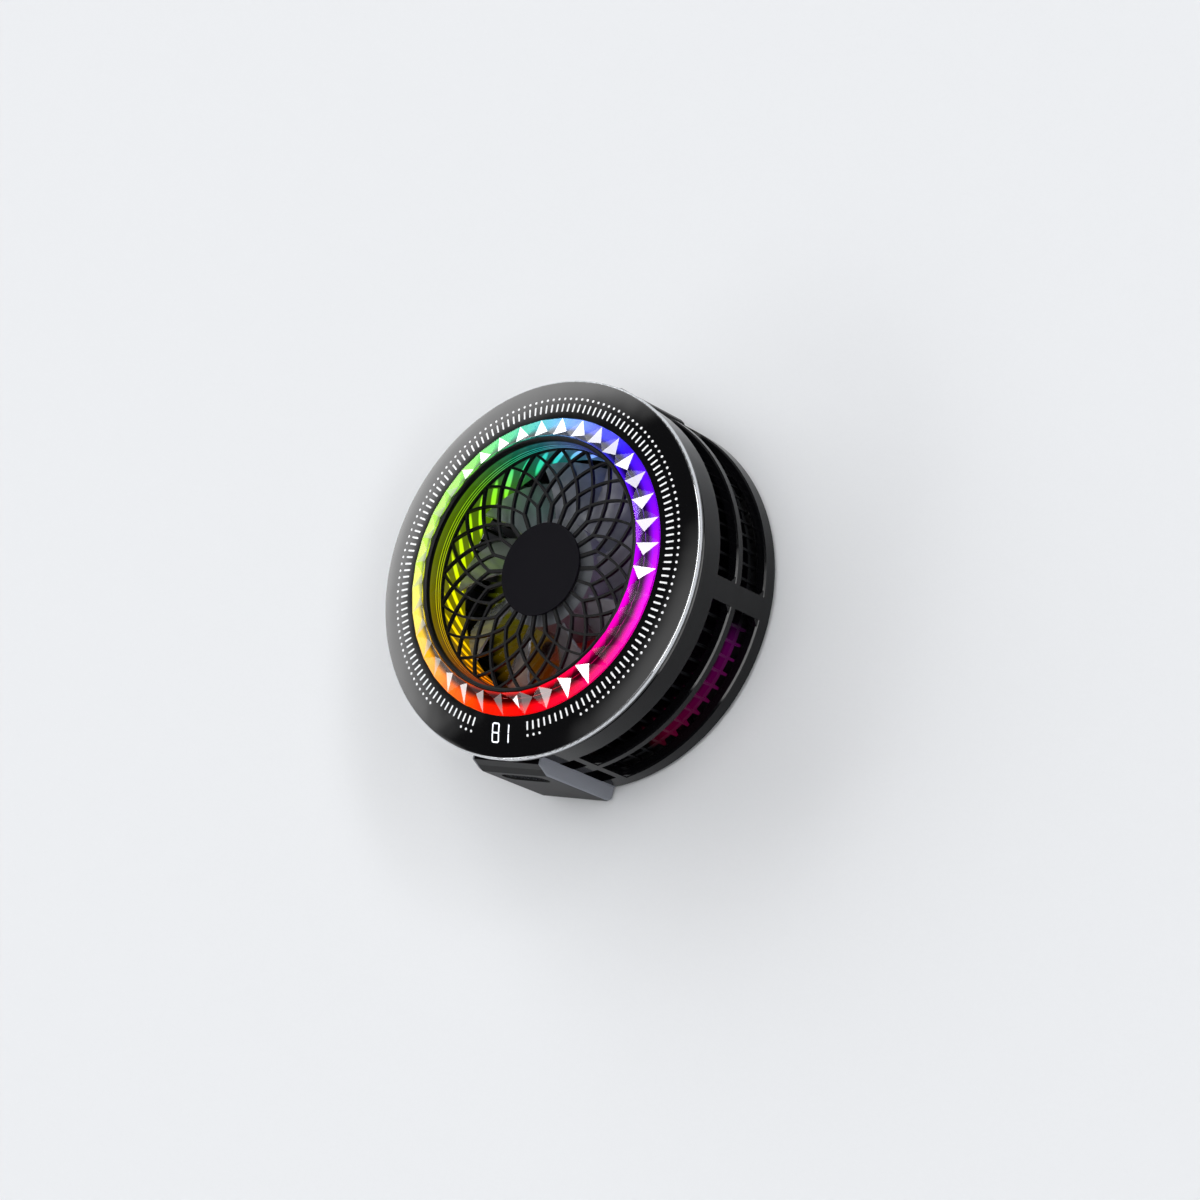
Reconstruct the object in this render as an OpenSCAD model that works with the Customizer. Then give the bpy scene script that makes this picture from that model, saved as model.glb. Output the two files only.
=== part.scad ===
// Round cooling fan that holds itself by magnets on the flat back of what it cools.
// The fan draws air in through the woven grille, over a radial finned heat sink and out of the side slots.
// A thermoelectric plate pumps heat from the cold face at the back into that heat sink.
// Origin: centre of the contact plane. +Z runs along the fan axis to the front, +Y to 12 o'clock.

/* [Face] */
// How far the domed front bezel stands out over the housing
bezel_over = 0.5; // [0.1:0.1:1.5]
// Radial width of the bezel
bezel_w = 6.65; // [5.6:0.05:8]
// Height of the bezel at its inner edge
bezel_h = 2.3; // [2:0.1:3.5]
// Height of the rounded rim's middle over the bezel's foot
rim_h = 0.73; // [0.65:0.01:1]
// Radius of the bezel's rounded rim
rim_edge_r = 0.6; // [0.3:0.1:0.7]
// Radial width of the crystal ring
crystal_w = 3.2; // [2.4:0.1:4]
// Rise of the crown from its outer to its inner edge
crown_rise = 1.55; // [0.8:0.05:2.5]
// Height of the crystal's outer edge over the bezel
crown_step = 0.2; // [0:0.05:0.5]
// Depth of the notches between two ridges below the slope of the crown
facet_notch = 0.4; // [0.2:0.05:0.6]
// Distance of the notches from the crystal's inner edge
notch_in = 0.9; // [0.6:0.1:2]
// Turn of the first ridge from 3 o'clock
facet_turn = 1; // [0:0.5:10]
// Number of ridges round the crystal ring
facet_count = 36; // [24:1:48]
// Height of the black trim ring
trim_h = 1.1; // [0.6:0.1:1.8]
// Radial width of the black trim ring
trim_w = 0.7; // [0.5:0.05:0.8]
// Length of the clear duct below the grille
duct_h = 5.6; // [3:0.1:6]
// Radial width of the duct and of the light sleeve at its foot
sleeve_w = 0.95; // [0.85:0.05:1.6]
// Number of steps down the inside of the light sleeve
sleeve_steps = 3; // [2:1:5]

/* [Light and display] */
// Number of lamps under the crystal ring
lamp_count = 24; // [12:1:36]
// Side of a lamp
lamp_w = 1.6; // [1:0.1:2]
// Height of a lamp
lamp_h = 0.8; // [0.5:0.1:1]
// Thickness of a circuit board
board_t = 0.8; // [0.6:0.1:1.2]
// Thickness of the diffuser ring
diffuser_t = 0.6; // [0.4:0.1:0.8]
// Width of the two digit display
display_w = 7; // [5:0.5:9]
// Distance of the display from the crystal ring
display_gap = 0.8; // [0.4:0.1:1.5]
// Distance of the display from the edge of the frame under it
display_edge = 0.2; // [0.1:0.1:1]
// Thickness of the display
display_t = 1; // [0.6:0.1:1.2]

/* [Grille] */
// Radius of the plain disc in the middle of the grille
hub_cap_r = 7.6; // [6:0.1:9]
// Thickness of that disc
hub_cap_t = 0.25; // [0.15:0.05:0.5]
// Radius at which each spoke splits in two
split_r = 10.5; // [9.6:0.1:12.5]
// Turn of the first spoke from 3 o'clock
spoke_turn = 3.75; // [0:0.25:15]
// Number of spokes
spoke_count = 24; // [16:2:30]
// Width of a spoke
spoke_w = 0.55; // [0.45:0.05:0.9]
// Width of a strand
strand_w = 0.4; // [0.35:0.05:0.7]
// Turn of a strand from its split to the outer ring, in spoke pitches
strand_turn = 2; // [1:0.5:2.5]
// Thickness of the grille
grille_t = 0.6; // [0.5:0.1:1.2]

/* [Housing] */
// Outer radius of the housing
body_r = 30.3; // [28:0.1:34]
// Wall of the housing
wall_t = 1.6; // [1:0.1:1.8]
// Height of the housing's back edge over the contact plane
back_gap = 0.5; // [0.45:0.05:0.8]
// Height of the plain band at the back
back_band_h = 2.8; // [2.6:0.1:4]
// Height of the lower row of vent slots
lower_slot_h = 6; // [5:0.1:7]
// Height of the rib between the two rows
rib_h = 1.6; // [1:0.1:2.4]
// Height of the upper row of vent slots
upper_slot_h = 4.5; // [3.5:0.1:5.5]
// Height of the plain band at the front
front_band_h = 4.6; // [4:0.1:6]
// Height of the groove under the bezel
groove_h = 0.5; // [0.3:0.1:0.8]
// Depth of the groove under the bezel
groove_d = 0.8; // [0.5:0.1:1]
// Bevel on the edges of the bands and the rib
edge_cut = 0.25; // [0.1:0.05:0.4]
// Width of the pillars at 3 and 9 o'clock
pillar_w = 3.7; // [3:0.1:6]
// Solid stretch of wall at 6 and 12 o'clock, in degrees
solid_deg = 42; // [40:1:50]
// Cut corner at the slots' ends
slot_corner = 1; // [0.6:0.1:1.6]
// Start of the short slots beside the bosses, in degrees from 6 and 12 o'clock
short_slot_from = 13.6; // [13.4:0.1:15]
// Width of the short slots, in degrees
short_slot_deg = 5.4; // [3:0.2:5.6]

/* [Socket boss] */
// Width of the boss round the power socket
boss_w = 13.6; // [12:0.2:14]
// How far the boss's flat face stands out over the housing
boss_proud = 1.6; // [1.2:0.1:3]
// Distance of the boss's back end from the contact plane
boss_low = 0.5; // [0.5:0.1:4]
// Distance of the boss's front end below the front edge of the housing
boss_drop = 0.5; // [0.4:0.1:0.9]
// Length of the slope from the boss's flat face to its front end
boss_nose = 2.6; // [1:0.1:3]
// How far the boss's front end stands out over the housing
boss_lip = 0.3; // [0.2:0.1:0.8]
// Bevel at the other edges of the boss and the pad
boss_cut = 0.7; // [0.3:0.1:1]
// Distance of the socket's middle below the front edge of the housing
socket_drop = 6; // [5.2:0.1:7]
// Length of the socket's shell
socket_l = 7.3; // [6.5:0.1:7.6]

/* [Button] */
// Width of the pad round the mode button
pad_w = 11.6; // [11:0.2:13]
// How far the pad's flat face stands out over the housing
pad_proud = 0.6; // [0.5:0.1:2]
// Distance of the pad's front end below the front edge of the housing
pad_drop = 1.8; // [0.4:0.1:3]
// Length of the mode button
button_l = 8.4; // [6:0.2:9]
// Width of the mode button
button_w = 3; // [2.4:0.1:3.6]
// How far the button stands out of its pad
button_proud = 0.6; // [0.5:0.1:1]
// Travel of the mode button
button_travel = 0.4; // [0.2:0.05:0.45]
// Distance of the button's middle below the front edge of the housing
button_drop = 7; // [6.6:0.1:8.4]

/* [Cooling] */
// Thickness of the cold plate
cold_t = 2; // [1.9:0.1:2.6]
// Radial width of the flange that holds the cold plate
flange_w = 1.2; // [0.8:0.1:1.6]
// Thickness of that flange
flange_t = 0.6; // [0.4:0.1:0.6]
// Thickness of the silicone grip ring
grip_t = 0.4; // [0.3:0.05:0.45]
// Floor of the rear cover
cover_floor = 0.8; // [0.7:0.05:1]
// Rim of the rear cover above its floor
cover_rim = 0.7; // [0.6:0.1:1]
// Number of magnets in the ring
magnet_count = 18; // [12:1:24]
// Height of a magnet
magnet_h = 1.3; // [1:0.1:1.6]
// Radial width of a magnet
magnet_w = 3.85; // [3:0.05:4.5]
// Thickness of the steel ring over the magnets
yoke_t = 0.3; // [0.2:0.1:0.5]
// Thickness of a thermal pad
pad_t = 0.15; // [0.1:0.05:0.3]
// Thickness of a ceramic plate
ceramic_t = 0.5; // [0.4:0.1:0.8]
// Height of a thermoelectric leg
leg_h = 1; // [0.8:0.1:1.4]
// Legs along one side of the thermoelectric plate
leg_rows = 8; // [6:2:12]
// Distance of the ceramic plate's corners from the cold plate's edge
ceramic_margin = 0.4; // [0.2:0.1:1]
// Height of the heat sink's foot
pedestal_h = 0.3; // [0.2:0.1:0.6]
// Thickness of the heat sink's base
base_t = 0.8; // [0.6:0.1:1.2]
// Number of fins in a full turn
fin_count = 72; // [48:2:80]
// Thickness of a fin
fin_t = 0.45; // [0.3:0.05:0.6]
// Height of the low fins under the fan
low_fin_h = 1.8; // [1.2:0.1:2.2]
// Gap between the fins and the housing
fin_gap = 0.15; // [0.1:0.05:0.4]
// Distance of the tall fins' tops below the front band
fin_drop = 1.3; // [0.6:0.1:3]

/* [Fan] */
// Wall of the impeller's hub
rotor_wall = 0.8; // [0.6:0.1:1]
// Number of blades
blade_count = 9; // [5:1:11]
// Thickness of a blade
blade_t = 0.9; // [0.6:0.1:1.2]
// Turn of a blade from its leading to its trailing edge, in degrees
blade_turn = 38; // [28:1:42]
// Radius of the fan shaft
shaft_r = 1; // [0.8:0.05:1.2]
// Running clearance of the shaft in its bearing
shaft_clear = 0.03; // [0.01:0.01:0.08]
// Wall of the bearing
bearing_wall = 1.35; // [1:0.05:1.5]
// Wall of the tube that holds the bearing
tube_wall = 0.75; // [0.5:0.05:0.9]
// Radial length of a winding
coil_l = 0.9; // [0.6:0.05:1.1]
// Width of a stator pole
pole_w = 2.25; // [1.8:0.05:2.6]
// Thickness of the fan's seat plate
seat_t = 1; // [0.8:0.1:1.4]
// Distance of the fan screws from the axis
fan_screw_r = 11.2; // [11:0.1:11.8]
// Radial width of the rotor's ring magnet
rotor_magnet_w = 0.9; // [0.6:0.1:1.2]
// Air gap between the stator and the rotor's magnet
air_gap = 0.3; // [0.2:0.05:0.5]

/* [Fits] */
// Gap between fixed pieces that slide into each other
fit = 0.05; // [0.03:0.01:0.1]
// Gap between moving pieces and what they pass
run = 0.3; // [0.2:0.05:0.5]
// Gap between blade tips and the duct
tip_gap = 0.8; // [0.5:0.1:1.5]

/* [Hidden] */
$fn = 96;
// Overlap that makes two solids of one piece merge
bite = 0.4;
// How far a cutter reaches past what it cuts
past = 1;

// Heights of the housing, from the back to the front
z_lower_slot = back_gap + back_band_h;
z_rib = z_lower_slot + lower_slot_h;
z_upper_slot = z_rib + rib_h;
z_front_band = z_upper_slot + upper_slot_h;
z_front = z_front_band + front_band_h;
z_bezel = z_front + groove_h;

// Radii from the bezel inwards to the duct
bezel_r = body_r + bezel_over;
bezel_in = bezel_r - bezel_w;
crystal_r = bezel_in - fit;
crystal_in = crystal_r - crystal_w;
sleeve_r = crystal_in * cos(180 / facet_count) - fit;
duct_r = sleeve_r - sleeve_w;
fan_r = duct_r - tip_gap;
wall_in = body_r - wall_t;
lip_r = body_r - groove_d;

// Heights of the lit face
seat_drop = 0.1;
frame_t = 1.2;
z_seat = z_bezel - seat_drop;
z_lamp_board = z_seat - board_t;
z_frame = z_lamp_board - frame_t;
z_diffuser = z_seat + lamp_h;
z_crystal = z_diffuser + diffuser_t;
z_crown = z_bezel + bezel_h;
z_crown_edge = z_crown + crown_step;
z_trim = z_crown_edge + crown_rise + seat_drop - trim_h;
z_grille = z_seat + grille_t;
cap_over = 0.3;
grille_lip = 0.15;

// Display under the bezel and the tab of the lamp board that carries it
display_in = crystal_r + display_gap;
display_out = sqrt(pow(lip_r, 2) - pow(display_w / 2, 2)) - display_edge;
display_d = display_out - display_in;
board_margin = 1;
board_edge_r = crystal_r + board_margin;
tab_side = 1.5;
tab_w = display_w + 2 * tab_side;
frame_edge = 0.8;
duct_flange_w = 1.1;
duct_flange_t = 0.6;
tab_end = sqrt(pow(wall_in - fit - frame_edge, 2) - pow(tab_w / 2, 2));

// Heights of the cooling stack, from the contact plane to the fan's seat
z_cover = grip_t + cover_floor;
z_cover_rim = z_cover + cover_rim;
z_ceramic = cold_t + pad_t;
z_legs = z_ceramic + ceramic_t;
z_hot = z_legs + leg_h;
z_pad = z_hot + ceramic_t;
z_pedestal = z_pad + pad_t;
z_base = z_pedestal + pedestal_h;
z_fins = z_base + base_t;
z_fan_seat = z_fins + low_fin_h;
z_fin_top = z_front_band - fin_drop;
z_yoke = z_cover + magnet_h;
screw_boss_h = 1.2;
z_low_fin = max(z_yoke + yoke_t, z_cover_rim + screw_boss_h) + run;

// Radii of the cooling stack, from the housing's wall inwards
cover_r = wall_in - fit;
screw_boss_r = 1.9;
screw_r = 0.7;
screw_head_r = 1.15;
screw_head_h = 0.6;
screw_circle = wall_in - screw_boss_r + bite;
magnet_out = screw_circle - screw_boss_r - fit;
magnet_in = magnet_out - magnet_w;
magnet_gap_deg = 1.5;
web_t = 1;
flange_r = magnet_in - 2 * fit - web_t;
cold_r = flange_r - flange_w;
ceramic_w = (cold_r - ceramic_margin) * sqrt(2);
foam_inset = 1;
foam_r = flange_r - fit - foam_inset;
probe_r = 0.9;
probe_h = 1.6;
probe_y = (ceramic_w / 2 + foam_r) / 2;
grip_in_gap = 0.9;
grip_out_gap = 0.3;
fin_r = wall_in - fin_gap;
fin_step = 1.4;
fin_tall_in = sleeve_r + fin_step;
post_r = 1.7;
fin_low_in = fan_screw_r + post_r + run;
base_inset = 0.15;
base_r = fin_r - base_inset;
pedestal_over = 0.5;
pedestal_r = cold_r + pedestal_over;
fin_under_gap = 2;
fin_under_in = pedestal_r + fin_under_gap;
fin_pitch = 360 / fin_count;

// Heights of the fan
rotor_lift = 1.4;
rotor_drop = 1.3;
tube_drop = 3;
stator_lift = 2.2;
stator_drop = 1.4;
z_seat_top = z_fan_seat + seat_t;
z_rotor = z_seat_top + rotor_lift;
z_rotor_top = z_seat - rotor_drop;
z_tube_top = z_rotor_top - tube_drop;
z_stator = z_seat_top + stator_lift;
stator_h = z_tube_top - z_stator - stator_drop;
washer_t = 0.2;
lock_t = 0.3;
z_shaft = z_seat_top + washer_t + fit;
z_lock = z_shaft + run;
z_bearing = z_lock + lock_t + run / 2;

// Radii of the fan, from the shaft outwards to the hub
bearing_bore = shaft_r + shaft_clear;
bearing_r = bearing_bore + bearing_wall;
tube_r = bearing_r + fit + tube_wall;
lock_r = shaft_r * 0.75;
collar_wall = 1.2;
core_in = tube_r + fit;
core_wall = 0.6;
coil_gap = 0.2;
coil_in = core_in + core_wall + coil_gap;
coil_out = coil_in + coil_l;
coil_t = 0.7;
coil_half = pole_w / 2 + coil_t;
shoe_t = 0.9;
stator_r = norm([coil_out + coil_gap / 2, coil_half]) + shoe_t;
rotor_magnet_r = stator_r + air_gap + rotor_magnet_w;
magnet_below = 1.2;
magnet_above = 0.8;
yoke_wall = 0.45;
yoke_r = rotor_magnet_r + fit + yoke_wall;
rotor_hub_r = yoke_r + fit + rotor_wall;
z_yoke_top = z_rotor_top - rotor_wall - fit;

// Power socket
boss_reach = body_r + boss_proud;
socket_z = z_front - socket_drop;
socket_h = 3.26;
socket_w = 8.94;
socket_wall = 0.3;
socket_inset = 0.25;
socket_floor = 1;
socket_mouth = boss_reach - socket_inset;
shelf_h = 1;
shelf_w = 1.8;
shelf_in = 2;
board_w = 12.8;
board_l = 5.5;
board_in = wall_in - board_l;
z_control = socket_z - socket_h / 2 - board_t;

// Mode button and its switch
pad_reach = body_r + pad_proud;
button_z = z_front - button_drop;
flange_over = 1.1;
button_flange_t = 0.7;
pad_face_t = 1.6;
pocket_reach = pad_reach - pad_face_t;
button_flange_y = pocket_reach - 2 * fit - button_flange_t;
switch_w = 4.5;
switch_h = 3.2;
switch_d = 3;
z_button_board = button_z - switch_h / 2 - board_t;
plunger_r = 0.8;
plunger_in = 0.9;
plunger_spare = 0.2;
plunger_out = button_travel + plunger_spare;
switch_face = button_flange_y - plunger_out;
button_board_end = switch_face - 2 * fit;

// Angles of the solid stretches of wall
solid_half = solid_deg / 2;
fin_skip = solid_half - 1;

// Turns children to point along a radius: their x runs round the axis, their y along it and their z outwards
module along_radius(a) {
  rotate([0, 0, a]) rotate([90, 0, 90]) children();
}

// Full ring with a plain rectangular section
module ring(r_in, r_out, z_low, z_high) {
  translate([0, 0, z_low]) difference() {
    cylinder(h = z_high - z_low, r = r_out);
    translate([0, 0, -past]) cylinder(h = z_high - z_low + 2 * past, r = r_in);
  }
}

// Ring of the housing with bevelled outer edges
module band(z_low, z_high) {
  rotate_extrude() polygon([
    [wall_in, z_low], [body_r - edge_cut, z_low], [body_r, z_low + edge_cut],
    [body_r, z_high - edge_cut], [body_r - edge_cut, z_high], [wall_in, z_high]
  ]);
}

// Part of the housing's wall between two angles
module wall_sector(from, to, z_low, z_high, r_in, r_out) {
  rotate([0, 0, from]) rotate_extrude(angle = to - from)
    translate([r_in, z_low]) square([r_out - r_in, z_high - z_low]);
}

// Flat outline with round ends, along x
module stadium(length, width) {
  reach = (length - width) / 2;
  square([2 * reach, width], center = true);
  for (side = [-1, 1]) translate([side * reach, 0]) circle(d = width);
}

// Solid of a stadium outline, standing out along y between two distances from the axis
module stadium_along_y(length, width, y_from, y_to, z) {
  translate([0, y_from, z]) rotate([-90, 0, 0]) linear_extrude(y_to - y_from) stadium(length, width);
}

// Solid cylinder along y between two distances from the axis
module cylinder_along_y(r, y_from, y_to, z) {
  translate([0, y_from, z]) rotate([-90, 0, 0]) cylinder(h = y_to - y_from, r = r);
}

// Block on the housing's wall with bevelled sides and a sloped front end, at 12 o'clock
module boss_block(width, reach, z_low, z_high, nose, nose_d) {
  half = width / 2;
  root = wall_in - boss_cut - wall_t;
  side_cut = boss_cut / 2;
  intersection() {
    translate([0, 0, z_low]) linear_extrude(z_high - z_low) polygon([
      [-half, root], [half, root], [half, reach - side_cut], [half - side_cut, reach],
      [side_cut - half, reach], [-half, reach - side_cut]
    ]);
    translate([-half, 0, 0]) rotate([90, 0, 90]) linear_extrude(width) polygon([
      [root, z_low], [reach - boss_cut, z_low], [reach, z_low + boss_cut],
      [reach, z_high - nose], [reach - nose_d, z_high], [root, z_high]
    ]);
  }
}

// Two rails that carry a small board, at 12 o'clock
module board_rails(z_top) {
  for (side = [-1, 1])
    translate([side * (board_w - shelf_w) / 2, (board_in + shelf_in + wall_in) / 2, z_top - shelf_h / 2])
      cube([shelf_w, wall_in - board_in - shelf_in + bite, shelf_h], center = true);
}

// Domed ring with a rounded rim and a pocket for the display
module front_bezel() {
  rim_x = bezel_r - rim_edge_r;
  rim_z = z_bezel + rim_h;
  span = rim_x - bezel_in;
  drop = z_crown - rim_z;
  dome_r = (pow(span, 2) + pow(drop, 2) - pow(rim_edge_r, 2)) / 2 / (drop - rim_edge_r);
  lean = asin(span / (dome_r - rim_edge_r));
  color("#141417") difference() {
    rotate_extrude() {
      intersection() {
        translate([bezel_in, z_crown - dome_r]) circle(r = dome_r);
        polygon([
          [bezel_in, rim_z - rim_edge_r / 2], [rim_x, rim_z - rim_edge_r / 2], [rim_x, rim_z],
          [rim_x + 2 * rim_edge_r * sin(lean), rim_z + 2 * rim_edge_r * cos(lean)],
          [bezel_in, z_crown + rim_edge_r]
        ]);
      }
      translate([rim_x, rim_z]) circle(r = rim_edge_r);
      polygon([
        [bezel_in, z_bezel], [bezel_r - edge_cut, z_bezel], [bezel_r, z_bezel + edge_cut],
        [bezel_r, rim_z], [bezel_in, rim_z]
      ]);
    }
    translate([0, 0, z_seat]) display_room(display_t + fit);
  }
}

// Room for the display, with its fit, up to a height over the display's seat
module display_room(height) {
  translate([-display_w / 2 - fit, -display_out - fit, -fit])
    cube([display_w + 2 * fit, display_d + 2 * fit, height + fit]);
}

// Points of one ridge at angle a: inner foot, outer foot, outer tip, inner tip, notch after it
function ridge_points(a, half) = let (
    notch_r = crystal_in + notch_in,
    z_notch = z_crown_edge + crown_rise * (1 - notch_in / crystal_w) - facet_notch
  ) [
    [crystal_in * cos(a), crystal_in * sin(a), z_crystal],
    [crystal_r * cos(a), crystal_r * sin(a), z_crystal],
    [crystal_r * cos(a), crystal_r * sin(a), z_crown_edge],
    [crystal_in * cos(a), crystal_in * sin(a), z_crown_edge + crown_rise],
    [notch_r * cos(a + half), notch_r * sin(a + half), z_notch]
  ];

// Faces on both sides of one ridge and the flats after it, from its own points e, the next n and the ones before q
function ridge_faces(e, n, q) = [
  [e, n, n + 1], [e, n + 1, e + 1],
  [e + 1, n + 1, n + 2], [e + 1, n + 2, e + 2],
  [e + 3, n, e], [e + 3, n + 3, n],
  [e + 3, q + 4, e + 2], [e + 2, e + 4, e + 3],
  [e + 3, e + 4, n + 3], [e + 2, n + 2, e + 4]
];

// Clear ring cut into ridges with notches and flats between their tips
module crystal_ring() {
  step = 360 / facet_count;
  last = facet_count - 1;
  points = [for (i = [0 : last]) each ridge_points(facet_turn + i * step, step / 2)];
  faces = [for (i = [0 : last])
    each ridge_faces(5 * i, 5 * ((i + 1) % facet_count), 5 * ((i + last) % facet_count))];
  color("#e8f0ff", 0.5) polyhedron(points, [for (f = faces) [f[2], f[1], f[0]]]);
}

// Black ring at the top of the duct
module trim_ring() {
  top_cut = trim_w / 3;
  inner = sleeve_r - trim_w;
  color("#0c0c0e") rotate_extrude() polygon([
    [inner, z_trim], [sleeve_r, z_trim], [sleeve_r, z_trim + trim_h - top_cut],
    [sleeve_r - top_cut, z_trim + trim_h], [inner + top_cut, z_trim + trim_h],
    [inner, z_trim + trim_h - top_cut]
  ]);
}

// Translucent stepped mouth between the trim ring and the grille
module light_sleeve() {
  rise = (z_trim - z_grille) / sleeve_steps;
  widen = (sleeve_w - trim_w) / sleeve_steps;
  color("#c8ff60", 0.6) for (i = [0 : sleeve_steps - 1])
    ring(duct_r + i * widen, sleeve_r, z_grille + i * rise, z_grille + (i + 1) * rise);
}

// Clear wall round the blades, hung from the front frame
module duct_ring() {
  flange_out = sleeve_r + duct_flange_w;
  z_flange = z_frame - duct_flange_t;
  color("#9fd8a0", 0.6) rotate_extrude() polygon([
    [duct_r, z_seat - duct_h], [sleeve_r, z_seat - duct_h], [sleeve_r, z_flange], [flange_out, z_flange],
    [flange_out, z_frame], [sleeve_r, z_frame], [sleeve_r, z_seat], [duct_r, z_seat]
  ]);
}

// Milky ring between the lamps and the crystal ring
module diffuser_ring() {
  color("#f4f4f4", 0.8) ring(crystal_in, crystal_r, z_diffuser, z_crystal);
}

// Ring board with a tab for the display
module lamp_board() {
  color("#1d5c38") difference() {
    union() {
      cylinder_at(board_edge_r, z_lamp_board, z_seat);
      translate([-tab_w / 2, -tab_end, z_lamp_board]) cube([tab_w, tab_end - crystal_r, board_t]);
    }
    cylinder_at(sleeve_r + fit, z_lamp_board - past, z_seat + past);
  }
}

// Plain cylinder on the fan axis between two heights
module cylinder_at(r, z_low, z_high) {
  translate([0, 0, z_low]) cylinder(h = z_high - z_low, r = r);
}

// Lamps in a ring on their board
module ring_lamps() {
  color("#f6f2d8") for (i = [0 : lamp_count - 1])
    rotate([0, 0, (i + 0.5) * 360 / lamp_count])
      translate([crystal_r - crystal_w / 2 - lamp_w / 2, -lamp_w / 2, z_seat]) cube([lamp_w, lamp_w, lamp_h]);
}

// Thin two digit display under the bezel
module display_module() {
  color("#2a2a2e") translate([-display_w / 2, -display_out, z_seat])
    cube([display_w, display_d, display_t]);
}

// Centre of the circle through three points
function circle_centre(a, b, c) = let (
    d = 2 * (a.x * (b.y - c.y) + b.x * (c.y - a.y) + c.x * (a.y - b.y)),
    ux = (a * a * (b.y - c.y) + b * b * (c.y - a.y) + c * c * (a.y - b.y)) / d,
    uy = (a * a * (c.x - b.x) + b * b * (a.x - c.x) + c * c * (b.x - a.x)) / d
  ) [ux, uy];

// Point in the plane from a radius and an angle
function polar(r, a) = [r * cos(a), r * sin(a)];

// One strand: the arc that leaves a split and reaches the outer ring
module strand() {
  sweep = strand_turn * 360 / spoke_count;
  start = polar(split_r, 0);
  middle = polar((split_r + duct_r) / 2, sweep / 2);
  end = polar(duct_r, sweep);
  centre = circle_centre(start, middle, end);
  arc_r = norm(start - centre);
  far = 2 * duct_r;
  intersection() {
    translate(centre) difference() {
      circle(r = arc_r + strand_w / 2);
      circle(r = arc_r - strand_w / 2);
    }
    difference() {
      circle(r = duct_r + bite / 2);
      circle(r = split_r - strand_w / 4);
    }
    polygon([[0, 0], polar(far, -5), polar(far, sweep + 5)]);
  }
}

// Disc, spokes that split into crossing strands, and the ring that holds them
module front_grille() {
  disc_r = hub_cap_r - cap_over;
  color("#101012") translate([0, 0, z_seat]) linear_extrude(grille_t) {
    circle(r = disc_r);
    difference() {
      circle(r = sleeve_r);
      circle(r = duct_r - grille_lip);
    }
    for (i = [0 : spoke_count - 1]) rotate(spoke_turn + i * 360 / spoke_count) {
      translate([disc_r - bite, -spoke_w / 2]) square([split_r - disc_r + bite + strand_w / 2, spoke_w]);
      strand();
      mirror([0, 1]) strand();
    }
  }
}

// Plain disc over the middle of the grille
module hub_cap() {
  color("#0b0b0d") cylinder_at(hub_cap_r, z_grille, z_grille + hub_cap_t);
}

// Ring that carries the bezel, the lamp board and the duct on the housing
module front_frame() {
  channel_r = board_edge_r + fit;
  hole_r = sleeve_r + fit;
  color("#18181b") difference() {
    rotate_extrude() polygon([
      [hole_r, z_frame], [wall_in - fit, z_frame], [wall_in - fit, z_front], [lip_r, z_front],
      [lip_r, z_bezel], [channel_r, z_bezel], [channel_r, z_lamp_board], [hole_r, z_lamp_board]
    ]);
    translate([-tab_w / 2 - fit, -tab_end - fit, z_lamp_board])
      cube([tab_w + 2 * fit, tab_end - crystal_r + fit, board_t + past]);
    translate([0, 0, z_seat]) display_room(past);
  }
}

// Cut corner at the end of a slot: side is 1 where the slot runs on anticlockwise from angle a
module corner_fill(a, side, z) {
  along_radius(a) linear_extrude(body_r) translate([0, z]) mirror([side < 0 ? 1 : 0, 0]) polygon([
    [-bite, -bite], [slot_corner + bite, -bite], [-bite, slot_corner + bite]
  ]);
}

// Angles of the slots' ends, with the way in which each slot runs on
function slot_ends() = let (p = asin(pillar_w / 2 / body_r), s = 90 - solid_half) [
  [p, 1], [s, -1], [180 - s, 1], [180 - p, -1], [180 + p, 1], [180 + s, -1], [360 - s, 1], [360 - p, -1]
];

// Bands, rib, pillars and bosses as one piece, before anything is cut through
module housing_shell() {
  band(back_gap, z_lower_slot);
  band(z_rib, z_upper_slot);
  band(z_front_band, z_front);
  half = asin(pillar_w / 2 / body_r);
  low = back_gap + edge_cut + bite;
  high = z_front - edge_cut - bite;
  for (a = [0, 180]) wall_sector(a - half, a + half, low, high, wall_in, body_r);
  for (a = [90, 270]) wall_sector(a - solid_half, a + solid_half, low, high, wall_in, body_r);
  intersection() {
    ring(wall_in + edge_cut / 2, body_r - edge_cut / 2, low, high);
    union() for (end = slot_ends(), z = [z_lower_slot, z_upper_slot]) corner_fill(end[0], end[1], z);
  }
  difference() {
    union() {
      rotate([0, 0, 180])
        boss_block(boss_w, boss_reach, boss_low, z_front - boss_drop, boss_nose, boss_proud - boss_lip);
      boss_block(pad_w, pad_reach, boss_low, z_front - pad_drop, boss_cut, boss_cut);
    }
    cylinder_at(wall_in + bite, 0, z_bezel);
  }
}

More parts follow.
